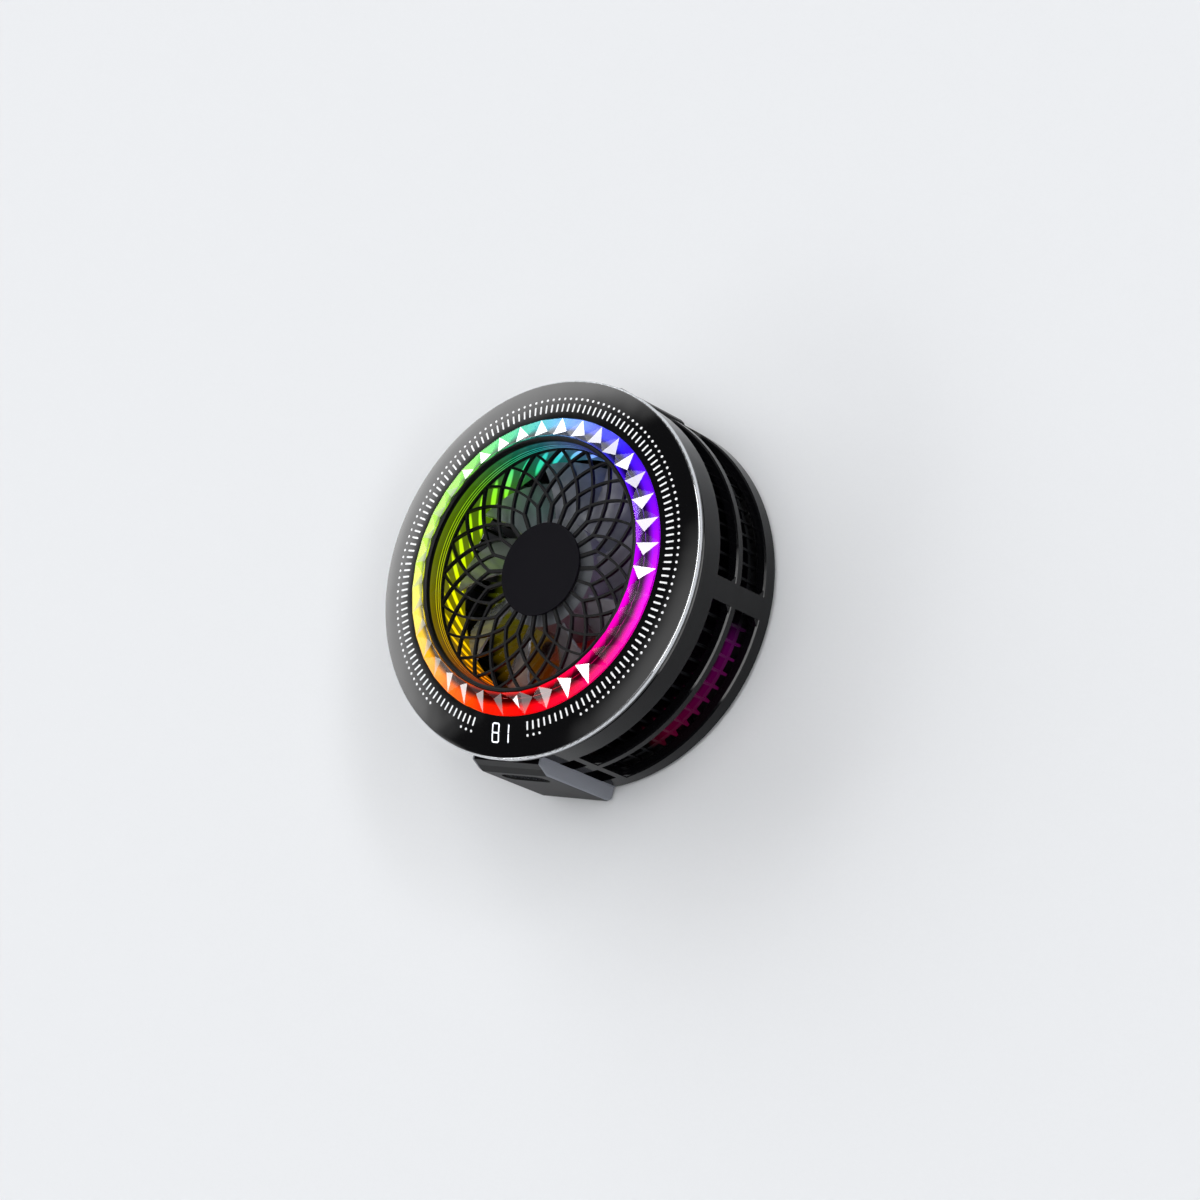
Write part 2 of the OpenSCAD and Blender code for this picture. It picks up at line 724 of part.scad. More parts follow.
// Slotted wall with the socket's boss, the button's pad, screw bosses and board rails
module main_housing() {
  color("#151518") difference() {
    union() {
      housing_shell();
      for (a = [45 : 90 : 315]) rotate([0, 0, a]) difference() {
        translate([screw_circle, 0, z_cover_rim]) cylinder(h = z_low_fin - run - z_cover_rim, r = screw_boss_r);
        translate([screw_circle, 0, z_cover_rim - past]) cylinder(h = z_low_fin, r = screw_r + fit / 2);
      }
      board_rails(z_button_board);
      rotate([0, 0, 180]) board_rails(z_control);
    }
    for (a = [90, 270], side = [-1, 1]) {
      from = a + side * short_slot_from;
      to = from + side * short_slot_deg;
      for (z = [[z_lower_slot, lower_slot_h], [z_upper_slot, upper_slot_h]])
        wall_sector(min(from, to), max(from, to), z[0] + slot_corner, z[0] + z[1], wall_in - past, boss_reach);
    }
    rotate([0, 0, 180])
      stadium_along_y(socket_w + 2 * fit, socket_h + 2 * fit, board_in, boss_reach + past, socket_z);
    rotate([0, 0, 180]) translate([-board_w / 2 - fit, board_in, z_control])
      cube([board_w + 2 * fit, wall_in - board_in + bite / 2, board_t + fit]);
    stadium_along_y(button_l + run, button_w + run, board_in, pad_reach + past, button_z);
    stadium_along_y(button_l + 2 * flange_over + run, button_w + 2 * flange_over + run, board_in,
      pocket_reach, button_z);
    translate([-board_w / 2 - fit, board_in, z_button_board])
      cube([board_w + 2 * fit, wall_in - board_in + bite / 2, board_t + fit]);
  }
}

// Ring that closes the back and holds the magnets and the cold plate
module rear_cover() {
  color("#1b1b1e") difference() {
    rotate_extrude() polygon([
      [cold_r + fit, grip_t], [cover_r, grip_t], [cover_r, z_cover_rim], [magnet_out + fit, z_cover_rim],
      [magnet_out + fit, z_cover], [magnet_in - fit, z_cover], [magnet_in - fit, z_cover_rim],
      [flange_r + fit, z_cover_rim], [flange_r + fit, z_cover], [cold_r + fit, z_cover]
    ]);
    for (a = [45 : 90 : 315]) rotate([0, 0, a]) translate([screw_circle, 0, 0]) {
      cylinder(h = grip_t + screw_head_h + fit, r = screw_head_r + fit);
      cylinder(h = z_cover_rim + past, r = screw_r + 2 * fit);
    }
  }
}

// Soft ring that grips the surface it rests on
module grip_ring() {
  color("#2b2c30") ring(cold_r + grip_in_gap, cover_r - grip_out_gap, 0, grip_t);
}

// Four screws from the rear cover into the housing
module housing_screws() {
  color("#8c8f94") for (a = [45 : 90 : 315]) rotate([0, 0, a]) translate([screw_circle, 0, grip_t + fit])
    screw(z_low_fin - run - grip_t - 3 * fit);
}

// Pan head screw with a cross recess, standing on its head
module screw(length) {
  slot = screw_head_r / 3;
  difference() {
    union() {
      cylinder(h = screw_head_h, r = screw_head_r);
      cylinder(h = length, r = screw_r);
    }
    for (turn = [0, 90]) rotate([0, 0, turn])
      cube([2 * screw_head_r - slot, slot, screw_head_h], center = true);
  }
}

// Ring of separate magnets
module magnet_ring() {
  step = 360 / magnet_count;
  color("#9a9da3") for (i = [0 : magnet_count - 1])
    wall_sector(i * step, (i + 1) * step - magnet_gap_deg, z_cover, z_yoke, magnet_in, magnet_out);
}

// Steel ring that closes the magnets' field
module magnet_yoke() {
  color("#6f7378") ring(magnet_in, magnet_out, z_yoke, z_yoke + yoke_t);
}

// Plate that draws the heat in, with the flange that holds it
module cold_plate() {
  color("#c3c7cc") rotate_extrude() polygon([
    [0, 0], [cold_r - edge_cut, 0], [cold_r, edge_cut], [cold_r, z_cover],
    [flange_r, z_cover], [flange_r, z_cover + flange_t], [foam_r, z_cover + flange_t],
    [foam_r, cold_t], [0, cold_t]
  ]);
}

// Probe that reads the cold plate's temperature
module temperature_probe() {
  color("#d8c26a") translate([0, probe_y, cold_t]) cylinder(h = probe_h, r = probe_r);
}

// Foam round the thermoelectric plate
module insulation_ring() {
  hole = ceramic_w + 4 * fit;
  color("#3a3b40") difference() {
    cylinder_at(foam_r, cold_t, z_pedestal - fit);
    sheet(hole, cold_t - past, z_base);
    translate([0, probe_y, 0]) cylinder(h = z_base, r = probe_r + 2 * fit);
  }
}

// Square sheet on the fan axis
module sheet(width, z_low, thickness) {
  translate([-width / 2, -width / 2, z_low]) cube([width, width, thickness]);
}

// Soft sheets on both faces of the thermoelectric plate
module thermal_pads() {
  color("#9fb4c8") {
    sheet(ceramic_w, cold_t, pad_t);
    sheet(ceramic_w, z_pad, pad_t);
  }
}

// Ceramic plate on the cold side
module cold_ceramic() {
  color("#f2f0ea") sheet(ceramic_w, z_ceramic, ceramic_t);
}

// Ceramic plate on the hot side
module hot_ceramic() {
  color("#f2f0ea") sheet(ceramic_w, z_hot, ceramic_t);
}

// Semiconductor legs between the two ceramic plates
module thermoelectric_legs() {
  pitch = ceramic_w / leg_rows;
  side = pitch * 0.45;
  color("#4b4e55") for (i = [0 : leg_rows - 1], j = [0 : leg_rows - 1])
    translate([(i + 0.5) * pitch - ceramic_w / 2, (j + 0.5) * pitch - ceramic_w / 2, z_legs + leg_h / 2])
      cube([side, side, leg_h], center = true);
}

// One fin as a flat plate in the plane of a radius
module fin() {
  rotate([90, 0, 0]) translate([0, 0, -fin_t / 2]) linear_extrude(fin_t) polygon([
    [fin_under_in, z_low_fin], [fin_r, z_low_fin], [fin_r, z_fin_top], [fin_tall_in, z_fin_top],
    [fin_tall_in, z_fan_seat - run], [fin_low_in, z_fan_seat - run], [fin_low_in, z_base + base_t / 2],
    [fin_under_in, z_base + base_t / 2]
  ]);
}

// Base with a foot on the thermoelectric plate, posts for the fan and radial fins
module heat_sink() {
  color("#4a4d53") difference() {
    union() {
      cylinder_at(pedestal_r, z_pedestal, z_base + base_t / 2);
      cylinder_at(base_r, z_base, z_fins);
      for (a = [0 : 120 : 240]) rotate([0, 0, a]) translate([fan_screw_r, 0, z_base + base_t / 2])
        cylinder(h = z_fan_seat - z_base - base_t / 2, r = post_r);
      for (i = [0 : fin_count - 1]) {
        a = (i + 0.5) * fin_pitch;
        if (abs(sin(a)) < cos(fin_skip)) rotate([0, 0, a]) fin();
      }
    }
    for (a = [0 : 120 : 240]) rotate([0, 0, a]) translate([fan_screw_r, 0, z_fins])
      cylinder(h = z_front, r = screw_r + fit / 2);
  }
}

// Plate with three ears and the tube that holds the bearing
module fan_seat() {
  ear_r = post_r + fit;
  color("#202024") difference() {
    union() {
      cylinder_at(rotor_hub_r, z_fan_seat, z_seat_top);
      for (a = [0 : 120 : 240]) rotate([0, 0, a]) {
        translate([fan_screw_r, 0, z_fan_seat]) cylinder(h = seat_t, r = ear_r);
        translate([0, -ear_r * 0.8, z_fan_seat]) cube([fan_screw_r, ear_r * 1.6, seat_t]);
      }
      cylinder_at(tube_r, z_fan_seat, z_tube_top);
    }
    cylinder_at(bearing_r + fit / 2, z_seat_top, z_tube_top + past);
    for (a = [0 : 120 : 240]) rotate([0, 0, a]) translate([fan_screw_r, 0, z_fan_seat - past])
      cylinder(h = seat_t + 2 * past, r = screw_r + 2 * fit);
  }
}

// Three screws from the fan's seat into the heat sink
module fan_screws() {
  color("#8c8f94") for (a = [0 : 120 : 240]) rotate([0, 0, a])
    translate([fan_screw_r, 0, z_seat_top + screw_head_h]) mirror([0, 0, 1])
      screw(screw_head_h + seat_t + low_fin_h - fit);
}

// Round board under the windings
module motor_board() {
  color("#1d5c38") ring(tube_r + fit, stator_r, z_seat_top, z_seat_top + board_t);
}

// Laminated core with four poles
module stator_core() {
  shoe_half = 36;
  far = 2 * stator_r;
  pole_from = core_in + core_wall / 2;
  color("#787c82") translate([0, 0, z_stator]) linear_extrude(stator_h) {
    difference() {
      circle(r = core_in + core_wall);
      circle(r = core_in);
    }
    for (a = [45 : 90 : 315]) rotate(a) {
      translate([pole_from, -pole_w / 2]) square([stator_r - shoe_t / 2 - pole_from, pole_w]);
      intersection() {
        difference() {
          circle(r = stator_r);
          circle(r = stator_r - shoe_t);
        }
        polygon([[0, 0], polar(far, -shoe_half), polar(far, shoe_half)]);
      }
    }
  }
}

// Winding round each pole
module stator_coils() {
  color("#b8682c") for (a = [45 : 90 : 315]) rotate([0, 0, a])
    translate([coil_in, -coil_half, z_stator - coil_t]) difference() {
      cube([coil_l, 2 * coil_half, stator_h + 2 * coil_t]);
      translate([-past, coil_t - fit, coil_t - fit])
        cube([coil_l + 2 * past, pole_w + 2 * fit, stator_h + 2 * fit]);
    }
}

// Sintered sleeve in which the shaft turns
module shaft_bearing() {
  color("#b08d57") ring(bearing_bore, bearing_r, z_bearing, z_tube_top);
}

// Slippery disc under the shaft's end
module thrust_washer() {
  color("#e6e2d6") cylinder_at(bearing_r - fit, z_seat_top, z_seat_top + washer_t);
}

// Steel shaft with a groove for its lock washer
module fan_shaft() {
  color("#c9ccd1") difference() {
    cylinder_at(shaft_r, z_shaft, z_yoke_top - yoke_wall - fit);
    ring(lock_r, 2 * shaft_r, z_lock, z_lock + lock_t);
  }
}

// Washer that keeps the rotor in its bearing
module lock_washer() {
  color("#e6e2d6") ring(lock_r, bearing_r - run, z_lock + fit / 2, z_lock + lock_t - fit / 2);
}

// Magnet ring inside the steel cup
module rotor_magnet() {
  color("#3c3d42") ring(rotor_magnet_r - rotor_magnet_w, rotor_magnet_r,
    z_stator - magnet_below, z_stator + stator_h + magnet_above);
}

// Steel cup inside the impeller's hub, with the collar that grips the shaft
module rotor_yoke() {
  collar_r = shaft_r + collar_wall;
  z_collar = z_tube_top + run;
  color("#8f9399") difference() {
    union() {
      ring(yoke_r - yoke_wall, yoke_r, z_rotor + fit, z_yoke_top);
      cylinder_at(yoke_r, z_yoke_top - yoke_wall, z_yoke_top);
      cylinder_at(collar_r, z_collar, z_yoke_top);
    }
    cylinder_at(shaft_r + fit / 5, z_collar - past, z_yoke_top - yoke_wall);
  }
}

// Stations along a blade's length and across its width
blade_rows = 4;
blade_steps = 5;

// Point on one face of a blade: u runs from the hub to the tip, v across the blade, face is 1 or -1
function blade_point(u, v, face) = let (
    r = rotor_hub_r - bite + u * (fan_r - rotor_hub_r + bite),
    turn = blade_turn * (1 - 0.12 * u),
    height = (z_rotor_top - z_rotor) * (0.82 - 0.12 * u),
    run_length = r * turn * PI / 180,
    slant = norm([run_length, height]),
    half = face * blade_t / 2 * (0.4 + 0.6 * sin(180 * v)),
    camber = 0.09 * run_length * sin(180 * v),
    a = (v - 0.5) * turn + 14 * u - (half + camber) * height / slant / r * 180 / PI,
    z = (z_rotor + z_rotor_top) / 2 + (v - 0.5) * height + (half + camber) * run_length / slant
  ) [r * cos(a), r * sin(a), z];

// Number of a blade's point: row, step and face 0 or 1
function blade_index(row, step, face) = (face * (blade_rows + 1) + row) * (blade_steps + 1) + step;

// Two triangles over the four points a, b, c, d
function two_faces(a, b, c, d) = [[a, b, c], [a, c, d]];

// One closed blade that reaches into the hub's wall
module blade() {
  points = [for (face = [1, -1], row = [0 : blade_rows], step = [0 : blade_steps])
    blade_point(row / blade_rows, step / blade_steps, face)];
  front = [for (row = [0 : blade_rows - 1], step = [0 : blade_steps - 1])
    each two_faces(blade_index(row, step, 0), blade_index(row, step + 1, 0),
      blade_index(row + 1, step + 1, 0), blade_index(row + 1, step, 0))];
  back = [for (row = [0 : blade_rows - 1], step = [0 : blade_steps - 1])
    each two_faces(blade_index(row, step, 1), blade_index(row + 1, step, 1),
      blade_index(row + 1, step + 1, 1), blade_index(row, step + 1, 1))];
  edges = [for (row = [0 : blade_rows - 1])
    each concat(
      two_faces(blade_index(row, 0, 0), blade_index(row + 1, 0, 0),
        blade_index(row + 1, 0, 1), blade_index(row, 0, 1)),
      two_faces(blade_index(row, blade_steps, 0), blade_index(row, blade_steps, 1),
        blade_index(row + 1, blade_steps, 1), blade_index(row + 1, blade_steps, 0)))];
  ends = [for (step = [0 : blade_steps - 1])
    each concat(
      two_faces(blade_index(0, step, 0), blade_index(0, step, 1),
        blade_index(0, step + 1, 1), blade_index(0, step + 1, 0)),
      two_faces(blade_index(blade_rows, step, 0), blade_index(blade_rows, step + 1, 0),
        blade_index(blade_rows, step + 1, 1), blade_index(blade_rows, step, 1)))];
  polyhedron(points, concat(front, back, edges, ends));
}

// Hub cup with curved blades
module impeller() {
  color("#8e9196") {
    difference() {
      cylinder_at(rotor_hub_r, z_rotor, z_rotor_top);
      cylinder_at(rotor_hub_r - rotor_wall, z_rotor - past, z_rotor_top - rotor_wall);
    }
    for (i = [0 : blade_count - 1]) rotate([0, 0, i * 360 / blade_count]) blade();
  }
}

// Small board on the housing's rails, at 12 o'clock, that ends at a distance from the axis
module rail_board(z, end) {
  color("#1d5c38") translate([-board_w / 2, board_in, z]) cube([board_w, end - board_in, board_t]);
}

// Board of the power socket
module control_board() {
  rotate([0, 0, 180]) rail_board(z_control, wall_in - fit);
}

// Board of the mode button
module button_board() {
  rail_board(z_button_board, button_board_end);
}

// Steel shell of the power socket
module socket_shell() {
  back = socket_mouth - socket_l;
  color("#b4b8bd") rotate([0, 0, 180]) difference() {
    stadium_along_y(socket_w, socket_h, back, socket_mouth, socket_z);
    stadium_along_y(socket_w - 2 * socket_wall, socket_h - 2 * socket_wall,
      back + socket_floor, socket_mouth + past, socket_z);
  }
}

// Tongue that carries the socket's contacts
module socket_tongue() {
  tongue_w = 6.7;
  tongue_t = 0.7;
  tongue_l = 4.5;
  color("#1a1a1c") rotate([0, 0, 180])
    translate([-tongue_w / 2, socket_mouth - socket_l + socket_floor, socket_z - tongue_t / 2])
      cube([tongue_w, tongue_l, tongue_t]);
}

// Body of the switch behind the mode button
module button_switch() {
  color("#2a2a2d") difference() {
    translate([-switch_w / 2, switch_face - switch_d, z_button_board + board_t])
      cube([switch_w, switch_d, switch_h]);
    cylinder_along_y(plunger_r + fit, switch_face - plunger_in - plunger_out, switch_face + past, button_z);
  }
}

// Plunger that the mode button pushes
module switch_plunger() {
  color("#c8c2b0") cylinder_along_y(plunger_r, switch_face - plunger_in, button_flange_y, button_z);
}

// Button with the flange that keeps it in its pad
module mode_button() {
  color("#1f1f23") {
    stadium_along_y(button_l, button_w, button_flange_y, pad_reach + button_proud, button_z);
    stadium_along_y(button_l + 2 * flange_over, button_w + 2 * flange_over, button_flange_y,
      button_flange_y + button_flange_t, button_z);
  }
}

front_bezel();
crystal_ring();
trim_ring();
light_sleeve();
duct_ring();
diffuser_ring();
lamp_board();
ring_lamps();
display_module();
front_grille();
hub_cap();
front_frame();
main_housing();
rear_cover();
grip_ring();
housing_screws();
magnet_ring();
magnet_yoke();
cold_plate();
temperature_probe();
insulation_ring();
thermal_pads();
cold_ceramic();
thermoelectric_legs();
hot_ceramic();
heat_sink();
fan_seat();
fan_screws();
motor_board();
stator_core();
stator_coils();
shaft_bearing();
thrust_washer();
fan_shaft();
lock_washer();
rotor_magnet();
rotor_yoke();
impeller();
control_board();
socket_shell();
socket_tongue();
button_board();
button_switch();
switch_plunger();
mode_button();
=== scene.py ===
"""Looks of a round cooling fan with a lit crystal ring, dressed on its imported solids."""

import logging
import math
from dataclasses import dataclass
from enum import Enum
from typing import ClassVar

import bpy
from mathutils import Matrix, Vector


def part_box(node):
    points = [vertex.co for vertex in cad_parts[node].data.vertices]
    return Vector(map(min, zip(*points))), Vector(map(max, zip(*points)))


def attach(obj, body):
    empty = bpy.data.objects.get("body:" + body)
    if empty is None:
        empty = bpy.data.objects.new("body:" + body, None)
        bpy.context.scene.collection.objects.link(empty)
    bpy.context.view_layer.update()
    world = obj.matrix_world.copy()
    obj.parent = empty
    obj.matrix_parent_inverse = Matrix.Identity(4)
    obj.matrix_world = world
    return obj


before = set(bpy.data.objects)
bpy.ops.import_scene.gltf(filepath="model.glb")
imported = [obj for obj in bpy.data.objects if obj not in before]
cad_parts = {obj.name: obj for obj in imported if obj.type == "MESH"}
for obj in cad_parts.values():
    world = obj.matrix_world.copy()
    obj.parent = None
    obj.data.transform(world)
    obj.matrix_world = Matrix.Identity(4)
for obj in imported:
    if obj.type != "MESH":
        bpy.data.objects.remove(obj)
LOG = logging.getLogger("cooling_fan")
MM = 0.001
WELD_MM = 0.0005
FLAT_DEG = 0.2
SHARP_DEG = 28
NOISE_LOW, NOISE_HIGH = 0.3, 0.7
Tree = bpy.types.NodeTree
Socket = bpy.types.NodeSocket
Shader = bpy.types.Node
Point = tuple[float, float, float]
Corner = tuple[float, float]
Range = tuple[float, float]
Quad = tuple[int, ...]


class Body(Enum):
    """Body of the part that the added pieces ride on."""

    COOLER = "cooler"


class Slot(Enum):
    """Material slots of the record for new pieces; this script does not use them."""

    INK = "milky_plastic"
    LAMP = "lamp_body"
    CONTACT = "bronze"


def linear(code: str) -> tuple[float, float, float, float]:
    """Turns an sRGB hex colour into linear values.

    Args:
        code: Colour as six hex digits after a hash.

    Returns:
        Linear red, green, blue and an alpha of 1.
    """
    parts = [int(code[i:i + 2], 16) / 255 for i in (1, 3, 5)]
    red, green, blue = [p / 12.92 if p <= 0.04045 else ((p + 0.055) / 1.055) ** 2.4 for p in parts]
    return red, green, blue, 1.0


def feed(tree: Tree, node: bpy.types.Node, inputs: dict) -> None:
    """Links or sets inputs of a node.

    Args:
        tree: Node tree of the node.
        node: Node that takes the inputs.
        inputs: Values by input name or number; a socket or a node's first output is linked, anything else is set.
    """
    for key, value in inputs.items():
        if isinstance(value, bpy.types.Node):
            value = value.outputs[0]
        if isinstance(value, Socket):
            tree.links.new(value, node.inputs[key])
        else:
            node.inputs[key].default_value = value


def add_node(tree: Tree, kind: str, inputs: dict | None = None, **settings: object) -> bpy.types.Node:
    """Adds a node with its settings and links.

    Args:
        tree: Node tree that takes the node.
        kind: Blender's name for the kind of node, after its common ShaderNode.
        inputs: Values, sockets or nodes by input name or number.
        settings: Attributes of the node itself.

    Returns:
        The new node.
    """
    node = tree.nodes.new("ShaderNode" + kind)
    for name, value in settings.items():
        setattr(node, name, value)
    feed(tree, node, inputs or {})
    return node


def maths(tree: Tree, operation: str, *terms: object) -> Socket:
    """Adds a step of arithmetic.

    Args:
        tree: Node tree that takes the step.
        operation: Blender's name for the operation.
        terms: Values, sockets or nodes that it works on.

    Returns:
        The result.
    """
    return add_node(tree, "Math", dict(enumerate(terms)), operation=operation).outputs[0]


def spread(tree: Tree, value: object, start: Range, end: Range = (0.0, 1.0), smooth: bool = False) -> Socket:
    """Carries a value from one range to another and holds it at the ends.

    Args:
        tree: Node tree that takes the step.
        value: Socket or node that gives the value.
        start: Range that the value comes from.
        end: Range that it is carried to.
        smooth: Whether it eases in and out.

    Returns:
        The value in its new range.
    """
    ends = dict(zip(("From Min", "From Max", "To Min", "To Max"), start + end))
    kind = "SMOOTHSTEP" if smooth else "LINEAR"
    return add_node(tree, "MapRange", {"Value": value, **ends}, interpolation_type=kind).outputs[0]


def turn_of(tree: Tree, place: Socket) -> Socket:
    """Gives the angle of a place round the fan axis.

    Args:
        tree: Material's node tree.
        place: Place on the solid.

    Returns:
        The angle in radians, from 3 o'clock.
    """
    axes = add_node(tree, "SeparateXYZ", {0: place}).outputs
    return maths(tree, "ARCTAN2", axes[1], axes[0])


def reach_of(tree: Tree, place: Socket) -> Socket:
    """Gives the distance of a place from the fan axis, or the level part of a direction.

    Args:
        tree: Node tree of the material or the world.
        place: Place on the solid, or direction.

    Returns:
        The distance in metres, or the length of the level part.
    """
    flat = add_node(tree, "VectorMath", {0: place, 1: (1.0, 1.0, 0.0)}, operation="MULTIPLY")
    return add_node(tree, "VectorMath", {0: flat}, operation="LENGTH").outputs["Value"]


def make_piece(name: str, points: list[Point], faces: list[Quad], body: Body) -> bpy.types.Object:
    """Makes a mesh piece in millimetres that rides on a body.

    Args:
        name: Name of the piece.
        points: Corner points in millimetres.
        faces: Corner numbers of each face.
        body: Body that the piece moves with.

    Returns:
        The new object.
    """
    mesh = bpy.data.meshes.new(name)
    mesh.from_pydata([Vector(p) * MM for p in points], [], faces)
    mesh.update()
    piece = bpy.data.objects.new(name, mesh)
    bpy.context.scene.collection.objects.link(piece)
    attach(piece, body.value)
    return piece


def weld_smooth(name: str) -> bpy.types.Object:
    """Closes the seams between the faces of a solid and shades them smoothly.

    Args:
        name: Name of the solid.

    Returns:
        The solid.
    """
    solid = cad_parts[name]
    solid.data.polygons.foreach_set("use_smooth", [True] * len(solid.data.polygons))
    weld = solid.modifiers.new("weld", "WELD")
    weld.merge_threshold = WELD_MM * MM
    return solid


def soften_edges(name: str, width_mm: float) -> None:
    """Rounds the sharp edges of a solid so that they catch the light as moulded edges do.

    Args:
        name: Name of the solid.
        width_mm: Width of the rounding in millimetres.
    """
    solid = weld_smooth(name)
    flat = solid.modifiers.new("flat", "DECIMATE")
    flat.decimate_type = "DISSOLVE"
    flat.angle_limit = math.radians(FLAT_DEG)
    edge = solid.modifiers.new("edge", "BEVEL")
    edge.width = width_mm * MM
    edge.segments = 2
    edge.limit_method = "ANGLE"
    edge.angle_limit = math.radians(SHARP_DEG)
    edge.harden_normals = True
    normal = solid.modifiers.new("normal", "WEIGHTED_NORMAL")
    normal.keep_sharp = True


def smooth_faces(names: tuple[str, ...], crease_deg: float) -> None:
    """Shades the curved faces of solids smoothly and leaves their sharper edges sharp.

    Args:
        names: Names of the solids.
        crease_deg: Angle from which an edge stays sharp.
    """
    for name in names:
        solid = weld_smooth(name)
        crease = solid.modifiers.new("crease", "EDGE_SPLIT")
        crease.split_angle = math.radians(crease_deg)
        crease.use_edge_sharp = False


@dataclass(frozen=True)
class Finish:
    """Plain finish with a fine grain; the special ones add their own pattern.

    Sizes are in millimetres. The grain is the relief that the mould or the tool left.
    """

    name: str
    colour: str
    roughness: float
    ior: float = 1.5
    metallic: float = 0.0
    specular: float = 0.5
    grain_mm: float = 0.25
    grain_depth: float = 0.05
    mottle: float = 0.1

    def make(self) -> bpy.types.Material:
        """Makes the material with its shader and pattern.

        Returns:
            The new material.
        """
        material = bpy.data.materials.new(self.name)
        material.use_nodes = True
        tree = material.node_tree
        tree.nodes.clear()
        shader = add_node(tree, "BsdfPrincipled", {
            "Base Color": linear(self.colour), "Roughness": self.roughness, "Metallic": self.metallic})
        if not self.metallic:
            shader.inputs["IOR"].default_value = self.ior
            shader.inputs["Specular IOR Level"].default_value = self.specular
        add_node(tree, "OutputMaterial", {"Surface": shader})
        self.pattern(tree, shader)
        material.diffuse_color = linear(self.colour)
        return material

    def place(self, tree: Tree) -> Socket:
        """Gives the place on the solid, in metres from the part's origin."""
        return add_node(tree, "TexCoord").outputs["Object"]

    def grain(self, tree: Tree, place: Socket, size_mm: float, detail: float = 3.0) -> Socket:
        """Gives a grey grain of a real size.

        Args:
            tree: Material's node tree.
            place: Place on the solid.
            size_mm: Size of one grain.
            detail: Levels of finer detail.

        Returns:
            The grain's grey value.
        """
        noise = add_node(tree, "TexNoise", {
            "Vector": place, "Scale": 1 / (size_mm * MM), "Detail": detail, "Roughness": 0.55})
        return noise.outputs["Fac"]

    def pattern(self, tree: Tree, shader: Shader) -> None:
        """Adds grain to the relief, the gloss and the colour.

        Args:
            tree: Material's node tree.
            shader: Its shader.
        """
        grey = self.grain(tree, self.place(tree), self.grain_mm)
        rough = spread(
            tree, grey, (NOISE_LOW, NOISE_HIGH),
            (self.roughness * (1 - self.mottle), min(1.0, self.roughness * (1 + self.mottle))))
        relief = add_node(tree, "Bump", {
            "Height": grey, "Strength": self.grain_depth, "Distance": self.grain_mm * MM})
        base = linear(self.colour)
        shade = add_node(tree, "Mix", {
            0: grey, 6: tuple(c * (1 - self.mottle) for c in base[:3]) + (1.0,),
            7: tuple(min(1.0, c * (1 + self.mottle)) for c in base[:3]) + (1.0,)}, data_type="RGBA")
        feed(tree, shader, {"Roughness": rough, "Normal": relief, "Base Color": shade.outputs[2]})


@dataclass(frozen=True)
class PolishedBlack(Finish):
    """Black ABS from a polished mould: a deep mirror with a faint ripple and wiped hairlines."""

    ripple_mm: float = 6.0
    hair_mm: float = 0.35

    def pattern(self, tree: Tree, shader: Shader) -> None:
        """Adds a slow ripple to the relief and hairlines to the gloss.

        Args:
            tree: Material's node tree.
            shader: Its shader.
        """
        place = self.place(tree)
        ripple = self.grain(tree, place, self.ripple_mm, 1.0)
        relief = add_node(tree, "Bump", {
            "Height": ripple, "Strength": 0.012, "Distance": self.ripple_mm * MM})
        squeeze = add_node(tree, "Mapping", {"Vector": place, "Scale": (1.0, 1.0, 0.08)})
        hair = self.grain(tree, squeeze.outputs[0], self.hair_mm, 2.0)
        rough = spread(tree, hair, (0.35, 0.75), (self.roughness * 0.7, self.roughness * 1.5))
        feed(tree, shader, {"Roughness": rough, "Normal": relief})


@dataclass(frozen=True)
class RimHighlightBlack(PolishedBlack):
    """Polished black with a painted highlight on its rounded rim: a silver metallic band, a bright line round it. Sizes
    in millimetres.
    """

    rim_mm: float = 30.52
    rim_foot_mm: float = 21.1
    rim_highlight_colour: str = "#d8dade"
    rim_highlight_metal: float = 0.85

    def pattern(self, tree: Tree, shader: Shader) -> None:
        """Adds the polish, then the painted highlight on the rim: a silver metallic band that reflects the lights.

        Args:
            tree: Material's node tree.
            shader: Its shader.
        """
        super().pattern(tree, shader)
        place = self.place(tree)
        height = add_node(tree, "SeparateXYZ", {0: place}).outputs[2]
        wide = maths(tree, "GREATER_THAN", reach_of(tree, place), self.rim_mm * MM)
        above = maths(tree, "GREATER_THAN", height, self.rim_foot_mm * MM)
        rim = maths(tree, "MULTIPLY", wide, above)
        # painted highlight: a near-white metallic band on the rounded rim stands in for the rim's bright highlight
        metal = maths(tree, "MULTIPLY", rim, self.rim_highlight_metal)
        shade = add_node(tree, "Mix", {
            0: rim, 6: linear(self.colour), 7: linear(self.rim_highlight_colour)}, data_type="RGBA")
        feed(tree, shader, {"Metallic": metal, "Base Color": shade.outputs[2]})


